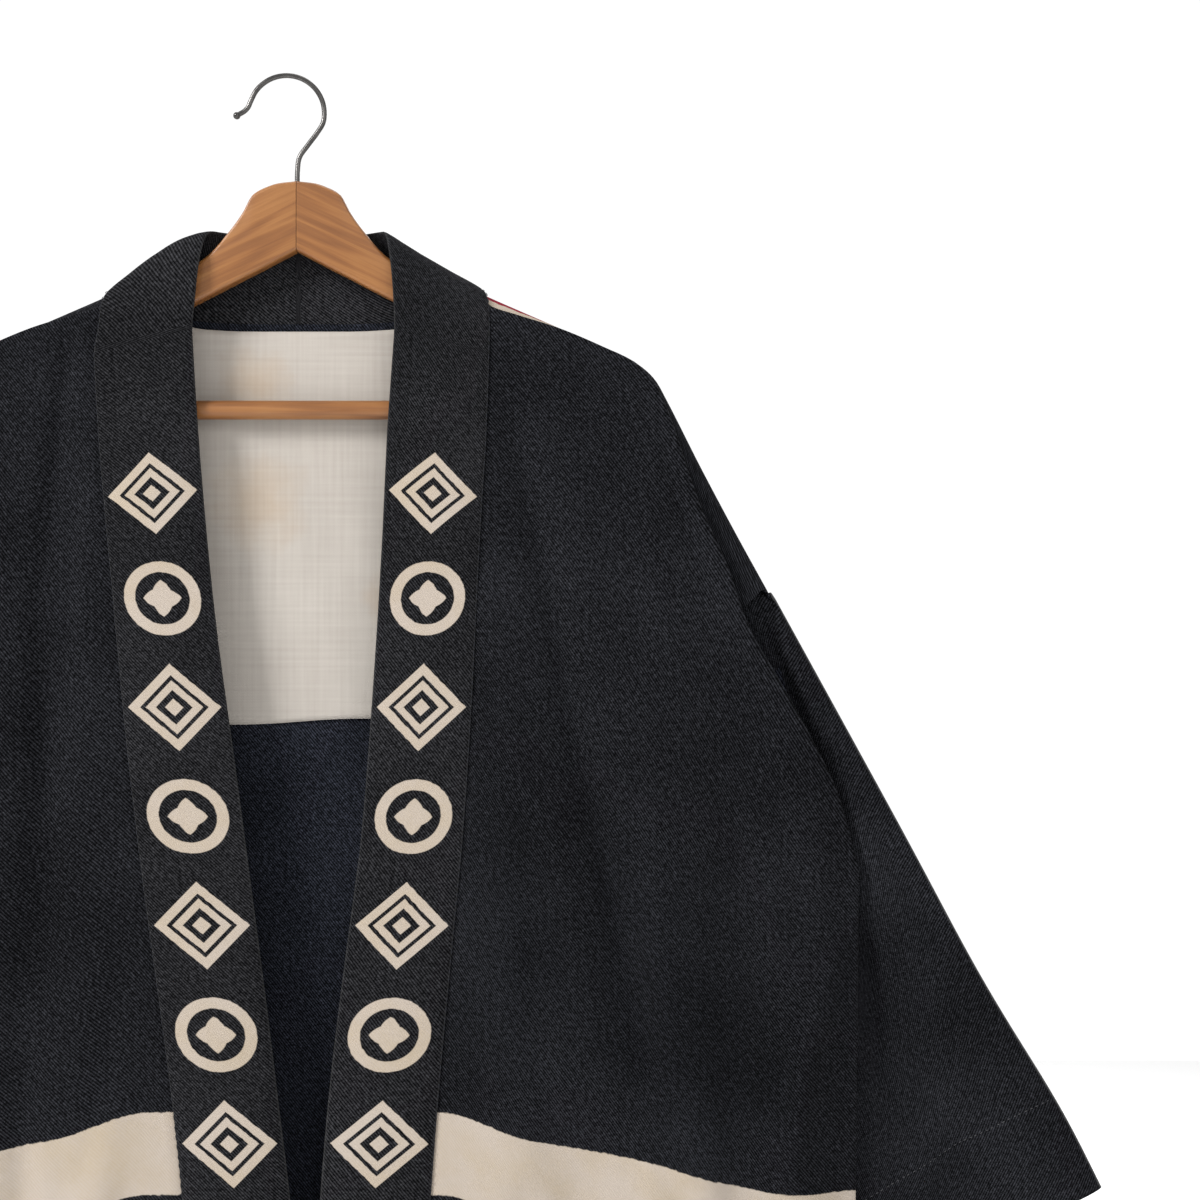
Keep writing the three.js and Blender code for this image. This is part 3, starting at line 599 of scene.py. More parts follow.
def twill(name, low, high, band=False, disc=False, motifs=False, fade=0.0, wear_and_highlight=None):
    """Dyed cotton twill: diagonal wales, rubbed lighter on their crowns, with undyed or dyed figures, and
    optional lighter edges: rubbed wear, and on the collar also a painted highlight.
    """
    m = Material(name, roughness=0.95, specular=0.04, sheen=0.012)
    across, along = m.cut()
    where = m.coordinates(from_cut=True)
    wobble = m.noise(where, 70, 2.0)
    wale_turns = (across + along * WALE_SLOPE) * (2 * math.pi / (TWILL_PITCH * WALE_STRETCH))
    wale = (wale_turns + wobble * 3).sin() * 0.5 + 0.5
    threads = m.noise(m.coordinates((1, 0.35, 1), 0.9, True), 1500, 2.0, 0.7)
    cloud = m.noise(where, 9, 4.0, 0.6)
    speck = m.noise(where, 420, 3.0, 0.65)
    tone = (wale * 0.62 + (threads - 0.5) * 1.2 + (cloud - 0.5) * 0.6 + (speck - 0.5) * 1.4 + fade).clamp()
    middle = tuple(a + (b - a) * 0.24 for a, b in zip(low, high))
    colour = m.ramp(tone, [(0.0, low), (0.45, middle), (1.0, high)])
    rub = m.noise(where, 160, 3.0, 0.7)
    # The collar's two long edges are drawn lighter: partly rubbed wear, partly a painted highlight on the
    # folded edge and on the seam ridge.
    if wear_and_highlight == "across":
        edge = (across.abs() * -1).below(-27.3, 0.8)
        colour = m.mix(edge * rub * 0.5, colour, linear(72, 72, 72))
    if wear_and_highlight == "fold":
        edge = (along.abs() + rub * 0.6).below(1.1, 0.9)
        colour = m.mix(edge * 0.6, colour, linear(96, 96, 96))
    undyed = None
    edge_shift = (m.noise(where, 260, 2.0) - 0.5) * 2.2
    if band:
        middle_height, half_height = (BAND_TOP + BAND_BOTTOM) / 2, (BAND_TOP - BAND_BOTTOM) / 2
        undyed = (along + edge_shift).band(middle_height, half_height, DYE_EDGE)
    if disc:
        x, y = across - DISC[0], along - DISC[1]
        radius = distance(x, y) + edge_shift
        inside = radius.below(DISC_RADIUS, DYE_EDGE)
        lozenge = x.abs() + y.abs() + edge_shift
        frame_lines = lozenge.band(158, 15, DYE_EDGE).max(lozenge.band(100, 14, DYE_EDGE))
        nest = frame_lines.max(lozenge.below(48, DYE_EDGE))
        undyed = undyed.max(inside * (nest * -1 + 1))
    if motifs:
        shown = along.below(MOTIFS_FROM, PRINT_EDGE) * (along * -1).below(-MOTIFS_TO, PRINT_EDGE)
        undyed = motif_cell(across + edge_shift * 0.4, along + edge_shift * 0.4) * shown
    if undyed is not None:
        stain = m.noise(where, 24, 4.0, 0.6)
        pale = m.ramp(stain + (speck - 0.5) * 0.25 + (wale - 0.5) * 0.14, [(0.36, CREAM), (0.8, CREAM_STAIN)])
        colour = m.mix(undyed, colour, pale)
    if disc:
        colour = m.mix(radius.band(DISC_RING, 2.6, DYE_EDGE), colour, RED)
    m.paint(colour)
    creases = m.noise(m.coordinates((1, 0.5, 1), 0.3, True), 34, 3.0, 0.55)
    m.bump(wale * 0.05 + threads * 0.05 + speck * 0.04 + creases * 0.5, 0.0011, 0.9)
    return m.data


def plain_weave():
    """Undyed plain-weave cotton with slubs, soft creases and faint old stains."""
    m = Material("lining_cotton", roughness=0.92, specular=0.15, sheen=0.1)
    across, along = m.cut()
    where = m.coordinates(from_cut=True)
    warp = (across * (2 * math.pi / WEAVE_PITCH) + m.noise(where, 120, 2.0) * 2).sin()
    weft = (along * (2 * math.pi / WEAVE_PITCH) + m.noise(where, 110, 2.0) * 2).sin()
    slub_x = m.noise(m.coordinates((1, 0.03, 1), 0, True), 420, 2.0)
    slub_y = m.noise(m.coordinates((0.03, 1, 1), 0, True), 420, 2.0)
    cloud = m.noise(where, 11, 4.0)
    tone = (slub_x * 0.22 + slub_y * 0.22 + (cloud - 0.5) * 0.3 + warp * weft * 0.05 + 0.2).clamp()
    colour = m.ramp(tone, [(0.2, linear(156, 148, 140)), (0.62, linear(186, 180, 172))])
    spots = None
    for x, y, size in ((-26, -176, 15), (-24, -246, 20), (60, -300, 14), (-90, -330, 18), (120, -220, 12)):
        off = distance(across - x, along - y)
        spot = (off + (m.noise(where, 55, 3.0) - 0.5) * 30).below(size, size * 1.3)
        spots = spot if spots is None else spots.max(spot)
    m.paint(m.mix(spots * 0.3, colour, linear(160, 128, 84)))
    creases = m.noise(m.coordinates((1, 0.6, 1), 0.5, True), 26, 3.0)
    m.bump(warp * weft * 0.03 + slub_x * 0.12 + slub_y * 0.12 + creases * 0.5, 0.001, 0.7)
    return m.data


def timber(name, turn):
    """Varnished softwood: grain along the arm, darker late-wood lines and fine pores."""
    m = Material(name, roughness=0.42, specular=0.4, coat=0.25)
    along_grain = m.coordinates((1.6, 30, 30), turn)
    warp = m.noise(m.coordinates((3, 9, 9), turn), 1.6, 2.0)
    rings = m.noise(along_grain, 4.2, 3.0, 0.5)
    lines = ((rings + warp * 0.6) * 22).sin() * 0.5 + 0.5
    fibre = m.noise(m.coordinates((5, 190, 190), turn), 5.0, 3.0, 0.7)
    cloud = m.noise(m.coordinates(), 22, 2.0)
    tone = (lines * 0.26 + fibre * 0.42 + cloud * 0.4).clamp()
    stops = [(0.15, linear(98, 57, 26)), (0.5, linear(131, 83, 40)), (0.85, linear(153, 104, 56))]
    m.paint(m.ramp(tone, stops))
    m.rough(fibre * 0.2 + 0.34)
    m.bump(fibre * 0.3 + lines * 0.2, 0.0003, 0.6)
    return m.data


def polished_steel():
    m = Material("hook_steel", roughness=0.3, specular=0.5, metallic=1.0)
    haze = m.noise(m.coordinates(), 90, 3.0)
    m.paint(m.ramp(haze, [(0.3, linear(70, 69, 68)), (0.75, linear(104, 102, 100))]))
    m.rough(haze * 0.14 + 0.24)
    m.bump(m.noise(m.coordinates(), 400, 2.0), 0.00001, 0.3)
    return m.data


def thread(name, colour):
    m = Material(name, roughness=0.8, specular=0.08, sheen=0.01)
    twist = m.noise(m.coordinates(), 2600, 2.0)
    m.paint(m.ramp(twist, [(0.3, tuple(c * 0.6 for c in colour)), (0.8, colour)]))
    m.bump(twist, 0.0002, 0.6)
    return m.data


BODY_LOW, BODY_HIGH = linear(1, 1, 2), linear(56, 57, 62)
COLLAR_LOW, COLLAR_HIGH = linear(2, 2, 3), linear(62, 62, 65)
body_cloth = twill("body_twill", BODY_LOW, BODY_HIGH, band=True)
back_cloth = twill("back_twill", BODY_LOW, BODY_HIGH, band=True, disc=True)
sleeve_cloth = twill("sleeve_twill", BODY_LOW, BODY_HIGH, wear_and_highlight="fold")
collar_cloth = twill("collar_twill", COLLAR_LOW, COLLAR_HIGH, motifs=True, fade=0.04, wear_and_highlight="across")
inside_cloth = twill("inside_twill", linear(2, 3, 5), linear(62, 65, 76))
lining_cloth = plain_weave()
wood = {1: timber("wood_left", math.radians(-25)), -1: timber("wood_right", math.radians(25))}
bar_wood = timber("wood_bar", 0.0)
steel = polished_steel()
dark_thread = thread("dark_thread", linear(46, 47, 52))
pale_thread = thread("pale_thread", linear(84, 84, 86))


def back_grid():
    """The back panel: neck edge and shoulder turnover at the top, hem at the bottom, and its cut places."""
    half = np.concatenate([
        [0.7, 1.6, 3], np.arange(6, 92, 5), np.arange(92, 120, 2), np.arange(120, 200, 5),
        np.arange(200, 273, 2), [273.8, 274.4, 276], np.arange(280, 322, 5), [325],
    ])
    x = np.concatenate([-half[::-1], [0], half])[None, :]
    ax = np.abs(x)
    over = (ax > NECK_EDGE_X) & (ax < SHOULDER_END_X)
    armhole = armhole_z(np.maximum(ax, BACK_ARMHOLE[0][0]))
    top = np.where(ax <= NECK_EDGE_X, neck_seam_z(ax) + NECK_RAISED, armhole)
    ridge = shoulder_z(ax)
    steep = np.abs(shoulder_z(np.minimum(SHOULDER_END_X - 1, ax + 1)) - shoulder_z(ax - 1)) / 2
    h = half_depth(ax)
    rise = h * np.minimum(2.1, np.sqrt(1 + steep * steep))
    quarter = math.pi / 4 * (h + rise)
    reach = turnover(ax)
    total = np.where(over, reach + quarter + ridge - rise - hem_z(x), top - hem_z(x))
    turned = np.maximum(reach, 3)
    near = np.concatenate([turned * np.linspace(0, 1, 21)[:, None], turned + np.arange(2, 68, 2)[:, None]])
    share = np.linspace(0, 1, 112)[1:, None]
    down = np.concatenate([near, lerp(turned + 66, total, share)])
    d = down - reach
    angle = np.clip(d / quarter, -1, 1) * (math.pi / 2)
    arc_z = ridge - rise + rise * np.cos(angle)
    behind = ridge - rise - d + quarter
    level = np.where(d < -quarter, ridge - rise + d + quarter, np.where(d < quarter, arc_z, behind))
    z = np.where(over, level, top - down)
    base = np.where(over, ridge, top)
    px = lerp(x, x * HEM_SIDE_X / SIDE_X, smooth((base - z) / 500))
    arc_y = wood_y(x) + np.sin(angle) * h * np.where(d < 0, 0.94, 1)
    y = np.where(over & (d < quarter), arc_y, back_y(px, z))
    y = y - CENTRE_SEAM_DEPTH * np.exp(-(px / CENTRE_SEAM_HALF) ** 2)
    along = np.where(over, ridge - rise + quarter - d, z)
    return np.stack([px, y, z], -1), np.stack([px, cut_height(px, along)], -1)


def front_grid(side):
    """A front panel, its upper edge folded under, from the collar's seam to the side seam."""
    seam_x = curve(LAPELS[side], 0, 2)
    s = np.concatenate([[0, 0.008, 0.016], np.linspace(0.03, 1, 66)])[None, :]
    top_x = lerp(seam_x(LAPELS[side][0][0]) - FRONT_UNDER_COLLAR, SIDE_X, s)
    bottom_x = lerp(seam_x(LAPELS[side][-1][0]) - FRONT_UNDER_COLLAR, HEM_SIDE_X, s)
    top_z = front_edge_z(top_x)
    bottom_z = hem_z(bottom_x)
    turn = np.radians([180, 150, 120, 90, 60, 30, 0])[:, None]
    radius = lerp(0.7, 1.5, smooth((top_x - 190) / 14))
    wide = lerp(1.5, 3.2, smooth((top_x - 190) / 14))
    first = np.array([11.0, 7.5])[:, None] + 0 * s
    curl = wide * (1 - np.sin(turn))
    after = np.array([6.0, 8, 11, 15, 20, 26])[:, None] + 0 * s
    full = top_z - bottom_z
    rest = lerp(26, full, np.linspace(0, 1, 150)[1:, None])
    down = np.concatenate([first, curl, after, rest])
    lift = np.concatenate([2 * radius + 0 * first, radius * (1 - np.cos(turn)), 0 * after, 0 * rest])
    z = top_z - down
    r = down / full
    straight = lerp(top_x[:, :1], bottom_x[:, :1], r)
    x = lerp(top_x, bottom_x, r) + (seam_x(z) - FRONT_UNDER_COLLAR - straight) * (1 - s) ** 2
    tucked = 1.4 * (1 - smooth((x - seam_x(z) + 1) / 3))
    raised = 0.6 * (1 - smooth(down / 9)) * (1 - smooth((x - 190) / 12))
    creases = crease_depth(FRONT_CREASES[side], x, z)
    y = front_y(x, z, FRONT_FOLDS[side]) + creases + lift + tucked + raised
    cut_x = x
    # The side seam: the panel's edge turned back to meet the back panel
    edge_x, edge_y, edge_z = x[:, -1:], y[:, -1:], z[:, -1:]
    seam_share = np.array([0.15, 0.4, 0.7, 1.0])[None, :]
    closed = 0.1 + 0.9 * smooth((ARMHOLE_LOW - edge_z) / 14)
    seam_depth = (back_y(edge_x, edge_z) - SEAM_GAP - edge_y) * seam_share * closed
    x = np.concatenate([x, edge_x + SEAM_BULGE * np.sin(seam_share * math.pi / 2)], axis=1)
    y = np.concatenate([y, edge_y + seam_depth], axis=1)
    z = np.concatenate([z, edge_z + 0 * seam_share], axis=1)
    cut_x = np.concatenate([cut_x, edge_x + seam_depth + SEAM_BULGE * seam_share], axis=1)
    grid = np.stack([x * side, y, z], -1)
    cut = np.stack([cut_x * side, cut_height(x, z)], -1)
    if side > 0:
        grid, cut = grid[:, ::-1], cut[:, ::-1]
    return grid, cut


def sleeve_point(a, b, layer):
    """A point of the +X sleeve, a along it and b down it; layer -1 in front, 1 behind, 0 on a fold."""
    start_x, start_z = (curve(SLEEVE_START[layer or -1], 0, k)(b) for k in (1, 2))
    cuff_x, cuff_z = (CUFF_TOP[k] + CUFF_DIRECTION[k] * CUFF_OPENING * b for k in (0, 1))
    inward = 1.2 * np.exp(-((a - 0.62) / 0.15) ** 2)
    outward = 3.2 * np.exp(-((a - 0.88) / 0.14) ** 2)
    top_sag = (inward - outward) * (1 - b) ** 2
    low_sag = 6 * b * b * np.sin(math.pi * a)
    x = lerp(start_x, cuff_x, a) - top_sag + low_sag
    z = lerp(start_z, cuff_z, a)
    middle = lerp(lerp(-0.5, 4, smooth(a * 1.2)), lerp(10, 15.5, smooth(a * 2.2)), smooth(b * 2.6))
    for b0, a0, b1, a1, depth, width in SLEEVE_FOLDS:
        t = (a - a0) / (a1 - a0)
        off = (b - lerp(b0, b1, t)) / width
        middle = middle + depth * np.exp(-off * off) * smooth(t * 4) * (t < 1)
    rounded = np.sqrt(np.maximum(0, 1 - (2 * b - 1) ** 4))
    full = lerp(6, 8.5, smooth(a * 2)) * rounded
    side_edge = lerp(SIDE_X, HEM_SIDE_X, (ARMHOLE_LOW - z) / SIDE_SEAM_LENGTH)
    edge = np.where(z > ARMHOLE_LOW, armhole_x(z), side_edge)
    band = lerp(2.4, 16, smooth(b * 8))
    behind = smooth(1.25 * (edge + band - x) / band)
    clear = back_y(np.minimum(x, edge), z) + 2.2
    y = middle + layer * full + behind * np.maximum(0, clear - (middle - full))
    if layer < 0:
        y = y - 5.4 * (1 - smooth(a / 0.2)) * smooth(b / 0.025) * smooth((0.6 - b) / 0.3)
        y = y + crease_depth(SLEEVE_CREASES, x, z) * smooth(a / 0.1)
    return np.stack([x, y, z], -1)


def sleeve_grid(side):
    """A sleeve as rings round it, from the armhole to the cuff."""
    a = np.linspace(0, 1, 100)[:, None]
    b = (1 - np.cos(np.linspace(0, math.pi, 60)))[None, :] / 2
    front = sleeve_point(a, b + 0 * a, -1)
    back = sleeve_point(a, b[:, -2:0:-1] + 0 * a, 1)
    top = sleeve_point(a, 0 * a, 0)
    low = sleeve_point(a, 0 * a + 1, 0)
    ring = np.concatenate([top, front[:, 1:-1], low, back], axis=1)
    girth = np.concatenate([b[0], b[0, -2:0:-1]])
    cut = np.stack(np.broadcast_arrays(a * SLEEVE_LENGTH, -girth[None, :] * CUFF_OPENING), -1)
    ring = ring * np.array([side, 1, 1])
    if side < 0:
        ring, cut = ring[:, ::-1], cut[:, ::-1] * np.array([-1, 1])
    return ring, cut


def collar_grid():
    """The folded band, from one hem round the neck to the other, and its cut places."""
    halves = {}
    for side in (-1, 1):
        inner = curve(LAPELS[side], 0, 1)
        outer = curve(LAPELS[side], 0, 2)
        rows = list(COLLAR_ROUND_NECK)
        for t in np.linspace(0, 1, 26):
            iz = lerp(LAPEL_TOP, HEM_AT_CENTRE - 3, t)
            oz = iz - lerp(14, 0, smooth(t * 5))
            y = float(front_y(outer(oz), oz, FRONT_FOLDS[side])) - 0.9
            rows.append((float(inner(iz)), y + 1.4, iz, float(outer(oz)) + 0.5, y, oz))
        halves[side] = np.array(rows, float)
    minus = halves[-1][1:][::-1] * np.array([-1, 1, 1, -1, 1, 1])
    stations = np.concatenate([minus, halves[1]])
    step = np.linalg.norm(np.diff((stations[:, :3] + stations[:, 3:]) / 2, axis=0), axis=1)
    length = np.concatenate([[0], np.cumsum(step)])
    fine = np.linspace(0, length[-1], 620)
    e = np.stack([np.interp(fine, length, column) for column in stations.T], -1)
    for _ in range(3):
        e[1:-1] = (e[:-2] + 2 * e[1:-1] + e[2:]) / 4
    t = ((1 - np.cos(np.linspace(0, math.pi, 25))) / 2)[None, :, None]
    grid = lerp(e[:, None, 3:], e[:, None, :3], t)
    past_lapel = np.minimum(fine - LAPEL_LENGTH, length[-1] - LAPEL_LENGTH - fine).clip(0)
    cut_z = np.where(e[:, 2] < LAPEL_TOP, e[:, 2], LAPEL_TOP + past_lapel)
    across = (t[..., 0] - 0.5) * COLLAR_WIDTH * np.where(e[:, 0] < 0, 1, -1)[:, None]
    wave = 0.7 * np.sin(fine / 61)[:, None] + 0.5 * np.sin(fine / 23 + 1)[:, None]
    lapel = smooth((-e[:, 2] - 150) / 60)[:, None]
    crown = np.sin(np.pi * t[..., 0]) * 0.9
    grid[..., 1] += lapel * (wave * np.sin(np.pi * t[..., 0]) - crown)
    crest = ((e[:, 3] < 0) * (e[:, 5] > LAPEL_TOP - 2) * np.exp(-((e[:, 4] - 1) / 9) ** 2))[:, None]
    grid[..., 2] += 6.5 * crest * np.sin(np.pi * (1 - t[..., 0]) ** 0.8)
    thin = (1 - (2 * t[..., 0] - 1) ** 8) ** 0.5
    cut = np.stack(np.broadcast_arrays(across, cut_z[:, None]), -1)
    return grid, cut, thin


def lining_grid():
    x = np.linspace(LINING_REACH, -LINING_REACH, 110)[None, :]
    ax = np.abs(x)
    top = np.minimum(neck_seam_z(np.minimum(ax, 90)) - 0.4, shoulder_z(np.maximum(ax, 60)) - 26)
    z = lerp(top, LINING_BOTTOM + x * 0.03 + 0.8 * np.sin(x / 17), np.linspace(0, 1, 70)[:, None])
    loose = smooth((top - z) / 60)
    waves = 0.35 * np.sin(x / 13 + z / 70) * np.sin(z / 41 + x / 90) + 0.2 * np.sin(x / 6 + z / 19)
    y = back_y(x, z) - 1.1 - 0.6 * loose + waves * loose
    return np.stack([x + 0 * z, y, z], -1), np.stack([x + 0 * z, z], -1)


def wood_half(name, side, material):
    """One arm of the hanger: rounded sections from the joint out to its tip."""
    top, bottom = curve(WOOD_SECTIONS, 0, 1), curve(WOOD_SECTIONS, 0, 2)
    stations = np.concatenate([
        np.linspace(WOOD_SECTIONS[0][0], 40, 26), np.linspace(44, 190, 44),
        np.linspace(192, WOOD_SECTIONS[-1][0], 14),
    ])
    turns = np.radians(np.arange(0, 90.1, 15))
    rings = []
    for x in stations:
        hi, lo = float(top(x)), float(bottom(x))
        tip = smooth((x - 196) / 9.6)
        half = WOOD / 2 * lerp(1, WOOD_TIP_SHARE, tip)
        r = min(2.8, (hi - lo) / 3)
        y = float(wood_y(x))
        ring = []
        for sy, sz, start in ((1, 1, 0), (-1, 1, 90), (-1, -1, 180), (1, -1, 270)):
            for turn in turns:
                angle = turn + math.radians(start)
                cz = hi - r if sz > 0 else lo + r
                ring.append((x * side, y + sy * (half - r) + math.cos(angle) * r, cz + math.sin(angle) * r))
        rings.append(ring)
    return lofted(name, np.array(rings), material)


def lofted(name, rings, material, sharp=50):
    """A closed solid through rings of points in millimetres, capped flat at both ends."""
    m, n = rings.shape[:2]
    faces = [(i * n + j, i * n + (j + 1) % n, (i + 1) * n + (j + 1) % n, (i + 1) * n + j)
             for i in range(m - 1) for j in range(n)]
    faces += [tuple(range(n))[::-1], tuple((m - 1) * n + j for j in range(n))]
    obj = build(name, placed(rings), faces, materials=[material])
    tidy = bmesh.new()
    tidy.from_mesh(obj.data)
    bmesh.ops.recalc_face_normals(tidy, faces=tidy.faces)
    tidy.to_mesh(obj.data)
    tidy.free()
    obj.data.set_sharp_from_angle(angle=math.radians(sharp))
    return obj


def swept(name, path, radius, sides, material):
    """A round wire along a path that stays in one upright plane."""
    path = np.array(path, float)
    tangent = np.gradient(path, axis=0)
    tangent /= np.linalg.norm(tangent, axis=1, keepdims=True)
    normal = np.stack([-tangent[:, 2], 0 * tangent[:, 0], tangent[:, 0]], -1)
    rings = []
    for p, n in zip(path, normal):
        angles = np.linspace(0, 2 * math.pi, sides, endpoint=False)[:, None]
        rings.append(p + radius * (np.cos(angles) * n + np.sin(angles) * np.array([0, 1, 0])))
    return lofted(name, np.array(rings), material)


def through(points, per=8):
    """A smooth line through points: centripetal Catmull-Rom, ends held."""
    p = np.array(points, float)
    p = np.concatenate([[2 * p[0] - p[1]], p, [2 * p[-1] - p[-2]]])
    out = []
    for i in range(1, len(p) - 2):
        t = np.cumsum([0] + [np.linalg.norm(p[i + k] - p[i + k - 1]) ** 0.5 for k in range(3)])
        for u in np.linspace(t[1], t[2], per, endpoint=False):
            a = [
                ((t[k + 1] - u) * p[i - 1 + k] + (u - t[k]) * p[i + k]) / (t[k + 1] - t[k])
                for k in range(3)
            ]
            b = [((t[k + 2] - u) * a[k] + (u - t[k]) * a[k + 1]) / (t[k + 2] - t[k]) for k in range(2)]
            out.append(((t[2] - u) * b[0] + (u - t[1]) * b[1]) / (t[2] - t[1]))
    return np.array(out + [p[-2]])


def hook_path():
    cx, cz = -SHANK_X, HOOK_WIRE - HOOK_LOOP

    def turned(degrees):
        angle = math.radians(degrees)
        return (cx + HOOK_LOOP * math.cos(angle), 0, cz + HOOK_LOOP * math.sin(angle))

    route = [(0, 0, -88), (0, 0, -70), (0, 0, -54), (1.2, 0, -46), (6, 0, -39), (11.6, 0, -31.5)]
    route += [turned(d) for d in (-12, 15, 40, 65, 90, 115, 140, 163)]
    route += [(-28.4, 0, -16.4), (-30.6, 0, -19), (-34.6, 0, -21.4)]
    return through(route)


def stitches(name, path, normals, material, pitch=6.5, length=3.6, width=0.55, lift=0.55):
    """A row of running stitches along a line of points, each a small flattened bead."""
    path, normals = np.asarray(path, float), np.asarray(normals, float)
    step = np.linalg.norm(np.diff(path, axis=0), axis=1)
    place = np.concatenate([[0], np.cumsum(step)])
    points, faces = [], []
    shape = [(-0.5, 0), (-0.32, 0.8), (0, 1), (0.32, 0.8), (0.5, 0)]
    sides = 6
    for k, middle in enumerate(np.arange(pitch / 2, place[-1] - pitch / 2, pitch)):
        middle += math.sin(k * 2.4) * 0.35
        size = length * (1 + 0.12 * math.sin(k * 5.1))
        ends = [np.array([np.interp(middle + o * size, place, c) for c in path.T]) for o in (-0.5, 0.5)]
        up = np.array([np.interp(middle, place, c) for c in normals.T])
        up /= np.linalg.norm(up)
        axis = ends[1] - ends[0]
        long = np.linalg.norm(axis)
        axis /= long
        out = np.cross(axis, up)
        centre = (ends[0] + ends[1]) / 2 + up * lift
        start = len(points)
        for o, r in shape:
            for j in range(sides):
                angle = 2 * math.pi * j / sides
                r1 = max(r, 0.15) * width
                points.append(centre + axis * o * long - up * abs(o) * 0.5
                              + r1 * (math.cos(angle) * out + 0.6 * math.sin(angle) * up))
        for i in range(len(shape) - 1):
            for j in range(sides):
                a, b = start + i * sides + j, start + i * sides + (j + 1) % sides
                faces.append((a, b, b + sides, a + sides))
        faces.append(tuple(start + j for j in range(sides))[::-1])
        faces.append(tuple(start + (len(shape) - 1) * sides + j for j in range(sides)))
    return build(name, placed(points), faces, materials=[material])


def row_at(grid, share):
    """The line of points a share of the way down a grid's rows, with its normals."""
    normals = grid_normals(grid)
    place = share * (len(grid) - 1)
    i = min(int(place), len(grid) - 2)
    return lerp(grid[i], grid[i + 1], place - i), lerp(normals[i], normals[i + 1], place - i)


def surface_area(grid, closed=False):
    """The area of a grid of points in millimetres, in square metres."""
    if closed:
        grid = np.concatenate([grid, grid[:, :1]], axis=1)
    a, b, c, d = grid[:-1, :-1], grid[1:, :-1], grid[1:, 1:], grid[:-1, 1:]
    first = np.linalg.norm(np.cross(b - a, c - a), axis=2)
    second = np.linalg.norm(np.cross(c - a, d - a), axis=2)
    return float((first + second).sum()) / 2e6


grid, cut = back_grid()
back = shell("jacket_back", grid, cut, CLOTH, [back_cloth, inside_cloth])
fronts, front_grids = {}, {}
for side, name in ((1, "jacket_front_left"), (-1, "jacket_front_right")):
    front_grids[side] = front_grid(side)
    fronts[side] = shell(name, *front_grids[side], CLOTH, [body_cloth, inside_cloth])
sleeves, sleeve_grids = {}, {}
for side, name in ((1, "jacket_sleeve_left"), (-1, "jacket_sleeve_right")):
    sleeve_grids[side] = sleeve_grid(side)
    sleeves[side] = shell(name, *sleeve_grids[side], CLOTH, [sleeve_cloth, inside_cloth], closed=True)
collar_points, collar_cut, thin = collar_grid()
collar = shell("jacket_collar", collar_points, collar_cut, COLLAR_CLOTH * thin, [collar_cloth, collar_cloth])
lining_points, lining_cut = lining_grid()
lining = shell("shoulder_lining", lining_points, lining_cut, LINING_CLOTH, [lining_cloth, lining_cloth])
halves = {1: wood_half("hanger_arm_left", 1, wood[1]), -1: wood_half("hanger_arm_right", -1, wood[-1])}
bar_y = float(wood_y(BAR_REACH))
bar_path = [(x, bar_y, BAR_Z) for x in np.linspace(-BAR_REACH, BAR_REACH, 24)]
bar = swept("hanger_rail", bar_path, BAR_RADIUS, 40, bar_wood)
hook_route = hook_path()
hook = swept("hanger_hook_wire", hook_route, HOOK_WIRE, 16, steel)
turns = np.linspace(0, 2 * math.pi, 24, endpoint=False)
ball_rings = []
for up in np.linspace(-math.pi / 2 + 0.08, math.pi / 2 - 0.08, 18):
    r = HOOK_BALL_RADIUS * math.cos(up)
    z = HOOK_BALL[1] + HOOK_BALL_RADIUS * math.sin(up)
    ball_rings.append([(HOOK_BALL[0] + r * math.cos(t), r * math.sin(t), z) for t in turns])
ball = lofted("hanger_hook_ball", np.array(ball_rings), steel, 80)


seams = []
for side, name in ((1, "left"), (-1, "right")):
    line, normals = row_at(sleeve_grids[side][0], CUFF_HEM)
    loop = [np.concatenate([v, v[:1]]) for v in (line, normals)]
    cuff = stitches("cuff_stitches_" + name, *loop, pale_thread, pitch=3.6, length=2.6, width=0.24)
    seams.append((cuff, "dyed_twill"))
    line, normals = row_at(front_grids[side][0], FRONT_HEM_ROW)
    seams.append((stitches("front_hem_stitches_" + name, line, normals, dark_thread), "dyed_twill"))
line, normals = row_at(grid, BACK_HEM_ROW)
seams.append((stitches("back_hem_stitches", line, normals, dark_thread), "dyed_twill"))
column = int(COLLAR_SEAM_SHARE * (collar_points.shape[1] - 1))
line, normals = collar_points[:, column], grid_normals(collar_points)[:, column]
size = {"pitch": 5.5, "length": 3.2, "width": 0.3, "lift": 1.1}
seams.append((stitches("collar_seam_stitches", line, normals, dark_thread, **size), "collar_twill"))

# Each piece stands for its CAD solid and rides on the one body
STANDS_FOR = [
    (back, "back", "dyed_twill"),
    (fronts[1], "front_left", "dyed_twill"),
    (fronts[-1], "front_right", "dyed_twill"),
    (sleeves[1], "sleeve_left", "dyed_twill"),
    (sleeves[-1], "sleeve_right", "dyed_twill"),
    (collar, "collar", "collar_twill"),
    (lining, "lining", "lining_cotton"),
    (halves[1], "hanger_half_left", "hanger_wood"),
    (halves[-1], "hanger_half_right", "hanger_wood"),
    (bar, "hanger_bar", "hanger_wood"),
    (hook, "hanger_hook", "hook_steel"),
]
for obj, node, finish in STANDS_FOR:
    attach(obj, "root")
    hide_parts(node)
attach(ball, "root")
for obj, finish in seams:
    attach(obj, "root")

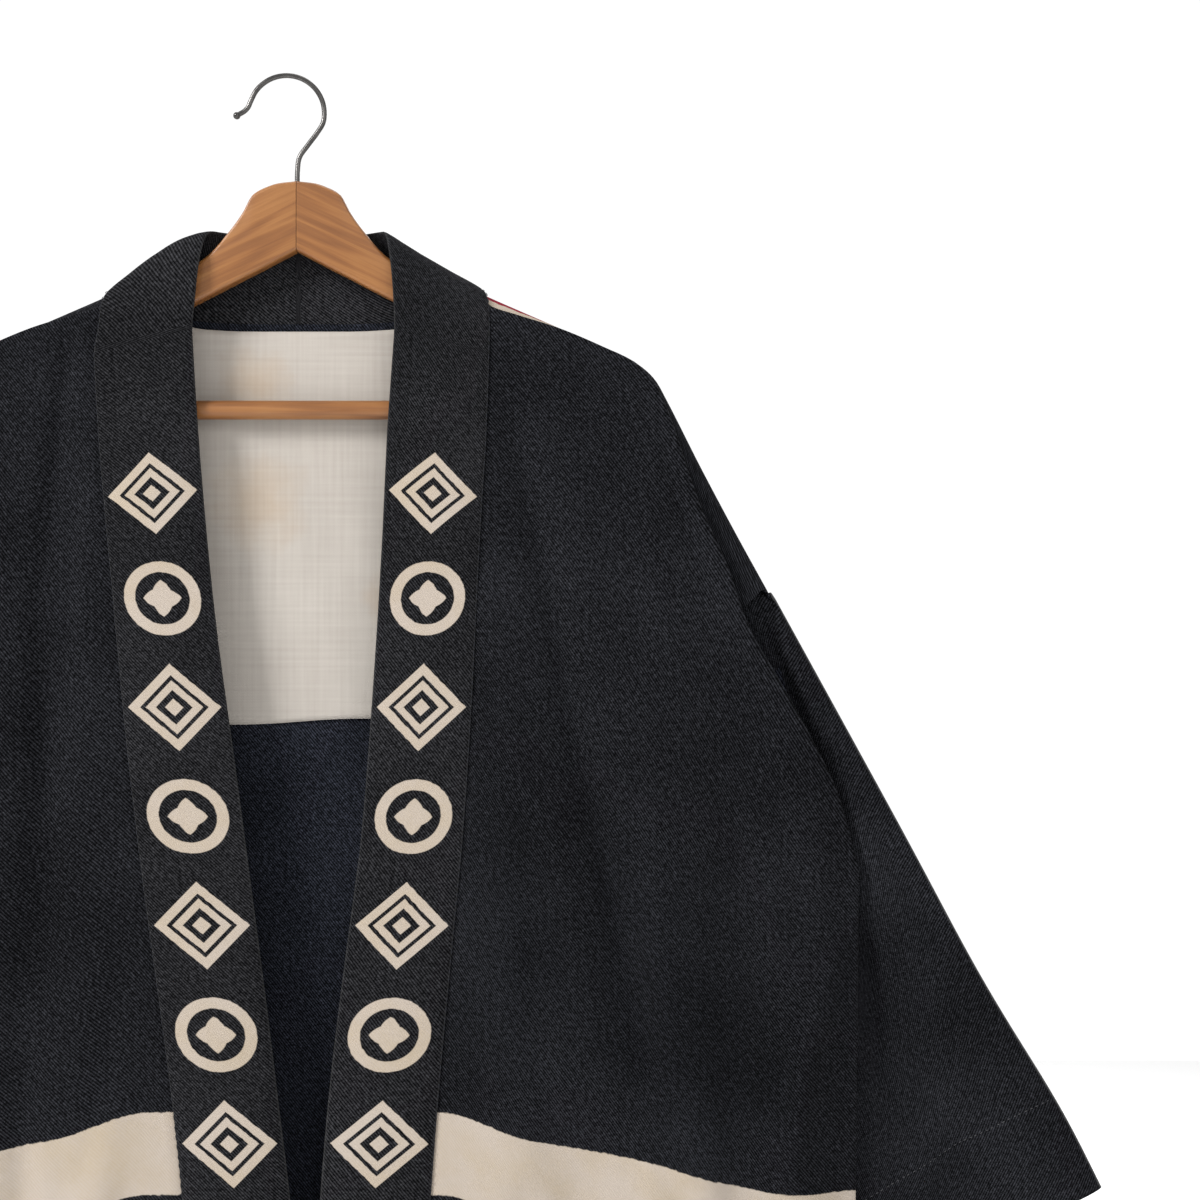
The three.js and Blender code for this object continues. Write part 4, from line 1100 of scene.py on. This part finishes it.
arms = ["hanger_arm_left", "hanger_arm_right"]
for obj, width, length, points, rests in (
    (back, 0.66, 0.83, grid, arms),
    (fronts[1], 0.27, 0.86, front_grids[1][0], arms),
    (fronts[-1], 0.28, 0.86, front_grids[-1][0], arms),
    (sleeves[1], 0.4, 0.52, sleeve_grids[1][0], ["jacket_front_left", "jacket_back"]),
    (sleeves[-1], 0.4, 0.52, sleeve_grids[-1][0], ["jacket_front_right", "jacket_back"]),
    (collar, 0.06, 1.8, collar_points, arms),
    (lining, 0.4, 0.25, lining_points, ["jacket_back"]),
):
    area = surface_area(points, closed=obj in sleeves.values())
    min(area, width * length)

bpy.ops.mesh.primitive_plane_add(size=14, location=(0, 0, FLOOR_Z))
floor = bpy.context.active_object
floor.name = "floor"
floor_paint = Material("floor_paint", 0.8)
floor_paint.shader.inputs["Base Color"].default_value = (0.98, 0.98, 0.98, 1)
floor.data.materials.append(floor_paint.data)

bpy.ops.mesh.primitive_plane_add(size=24, location=(0, BACKDROP_Y, 0), rotation=(math.pi / 2, 0, 0))
backdrop = bpy.context.active_object
backdrop.name = "backdrop"
paper = bpy.data.materials.new("white_paper")
paper.use_nodes = True
glow = paper.node_tree.nodes.new("ShaderNodeEmission")
set_inputs(glow, {"Color": (1, 1, 1, 1), "Strength": 1.05})
paper.node_tree.links.new(glow.outputs[0], paper.node_tree.nodes["Material Output"].inputs["Surface"])
backdrop.data.materials.append(paper)

world = bpy.data.worlds.new("studio")
world.use_nodes = True
set_inputs(world.node_tree.nodes["Background"], {"Color": (1, 1, 1, 1), "Strength": 0.6})
bpy.context.scene.world = world
bpy.context.scene.view_settings.view_transform = "Standard"
for name, place, size, power in LIGHTS:
    light = bpy.data.lights.new(name, "AREA")
    light.size = size
    light.energy = power
    lamp = bpy.data.objects.new(name, light)
    lamp.location = place
    lamp.rotation_euler = (Vector(LIGHT_AIM) - Vector(place)).to_track_quat("-Z", "Y").to_euler()
    bpy.context.scene.collection.objects.link(lamp)

camera = bpy.data.objects.new("camera", bpy.data.cameras.new("camera"))
camera.data.sensor_width = 36
camera.data.lens = 62
camera.location = (0.182, -1.2, -0.303)
camera.rotation_euler = (math.pi / 2, 0, 0)
bpy.context.scene.collection.objects.link(camera)
bpy.context.scene.camera = camera
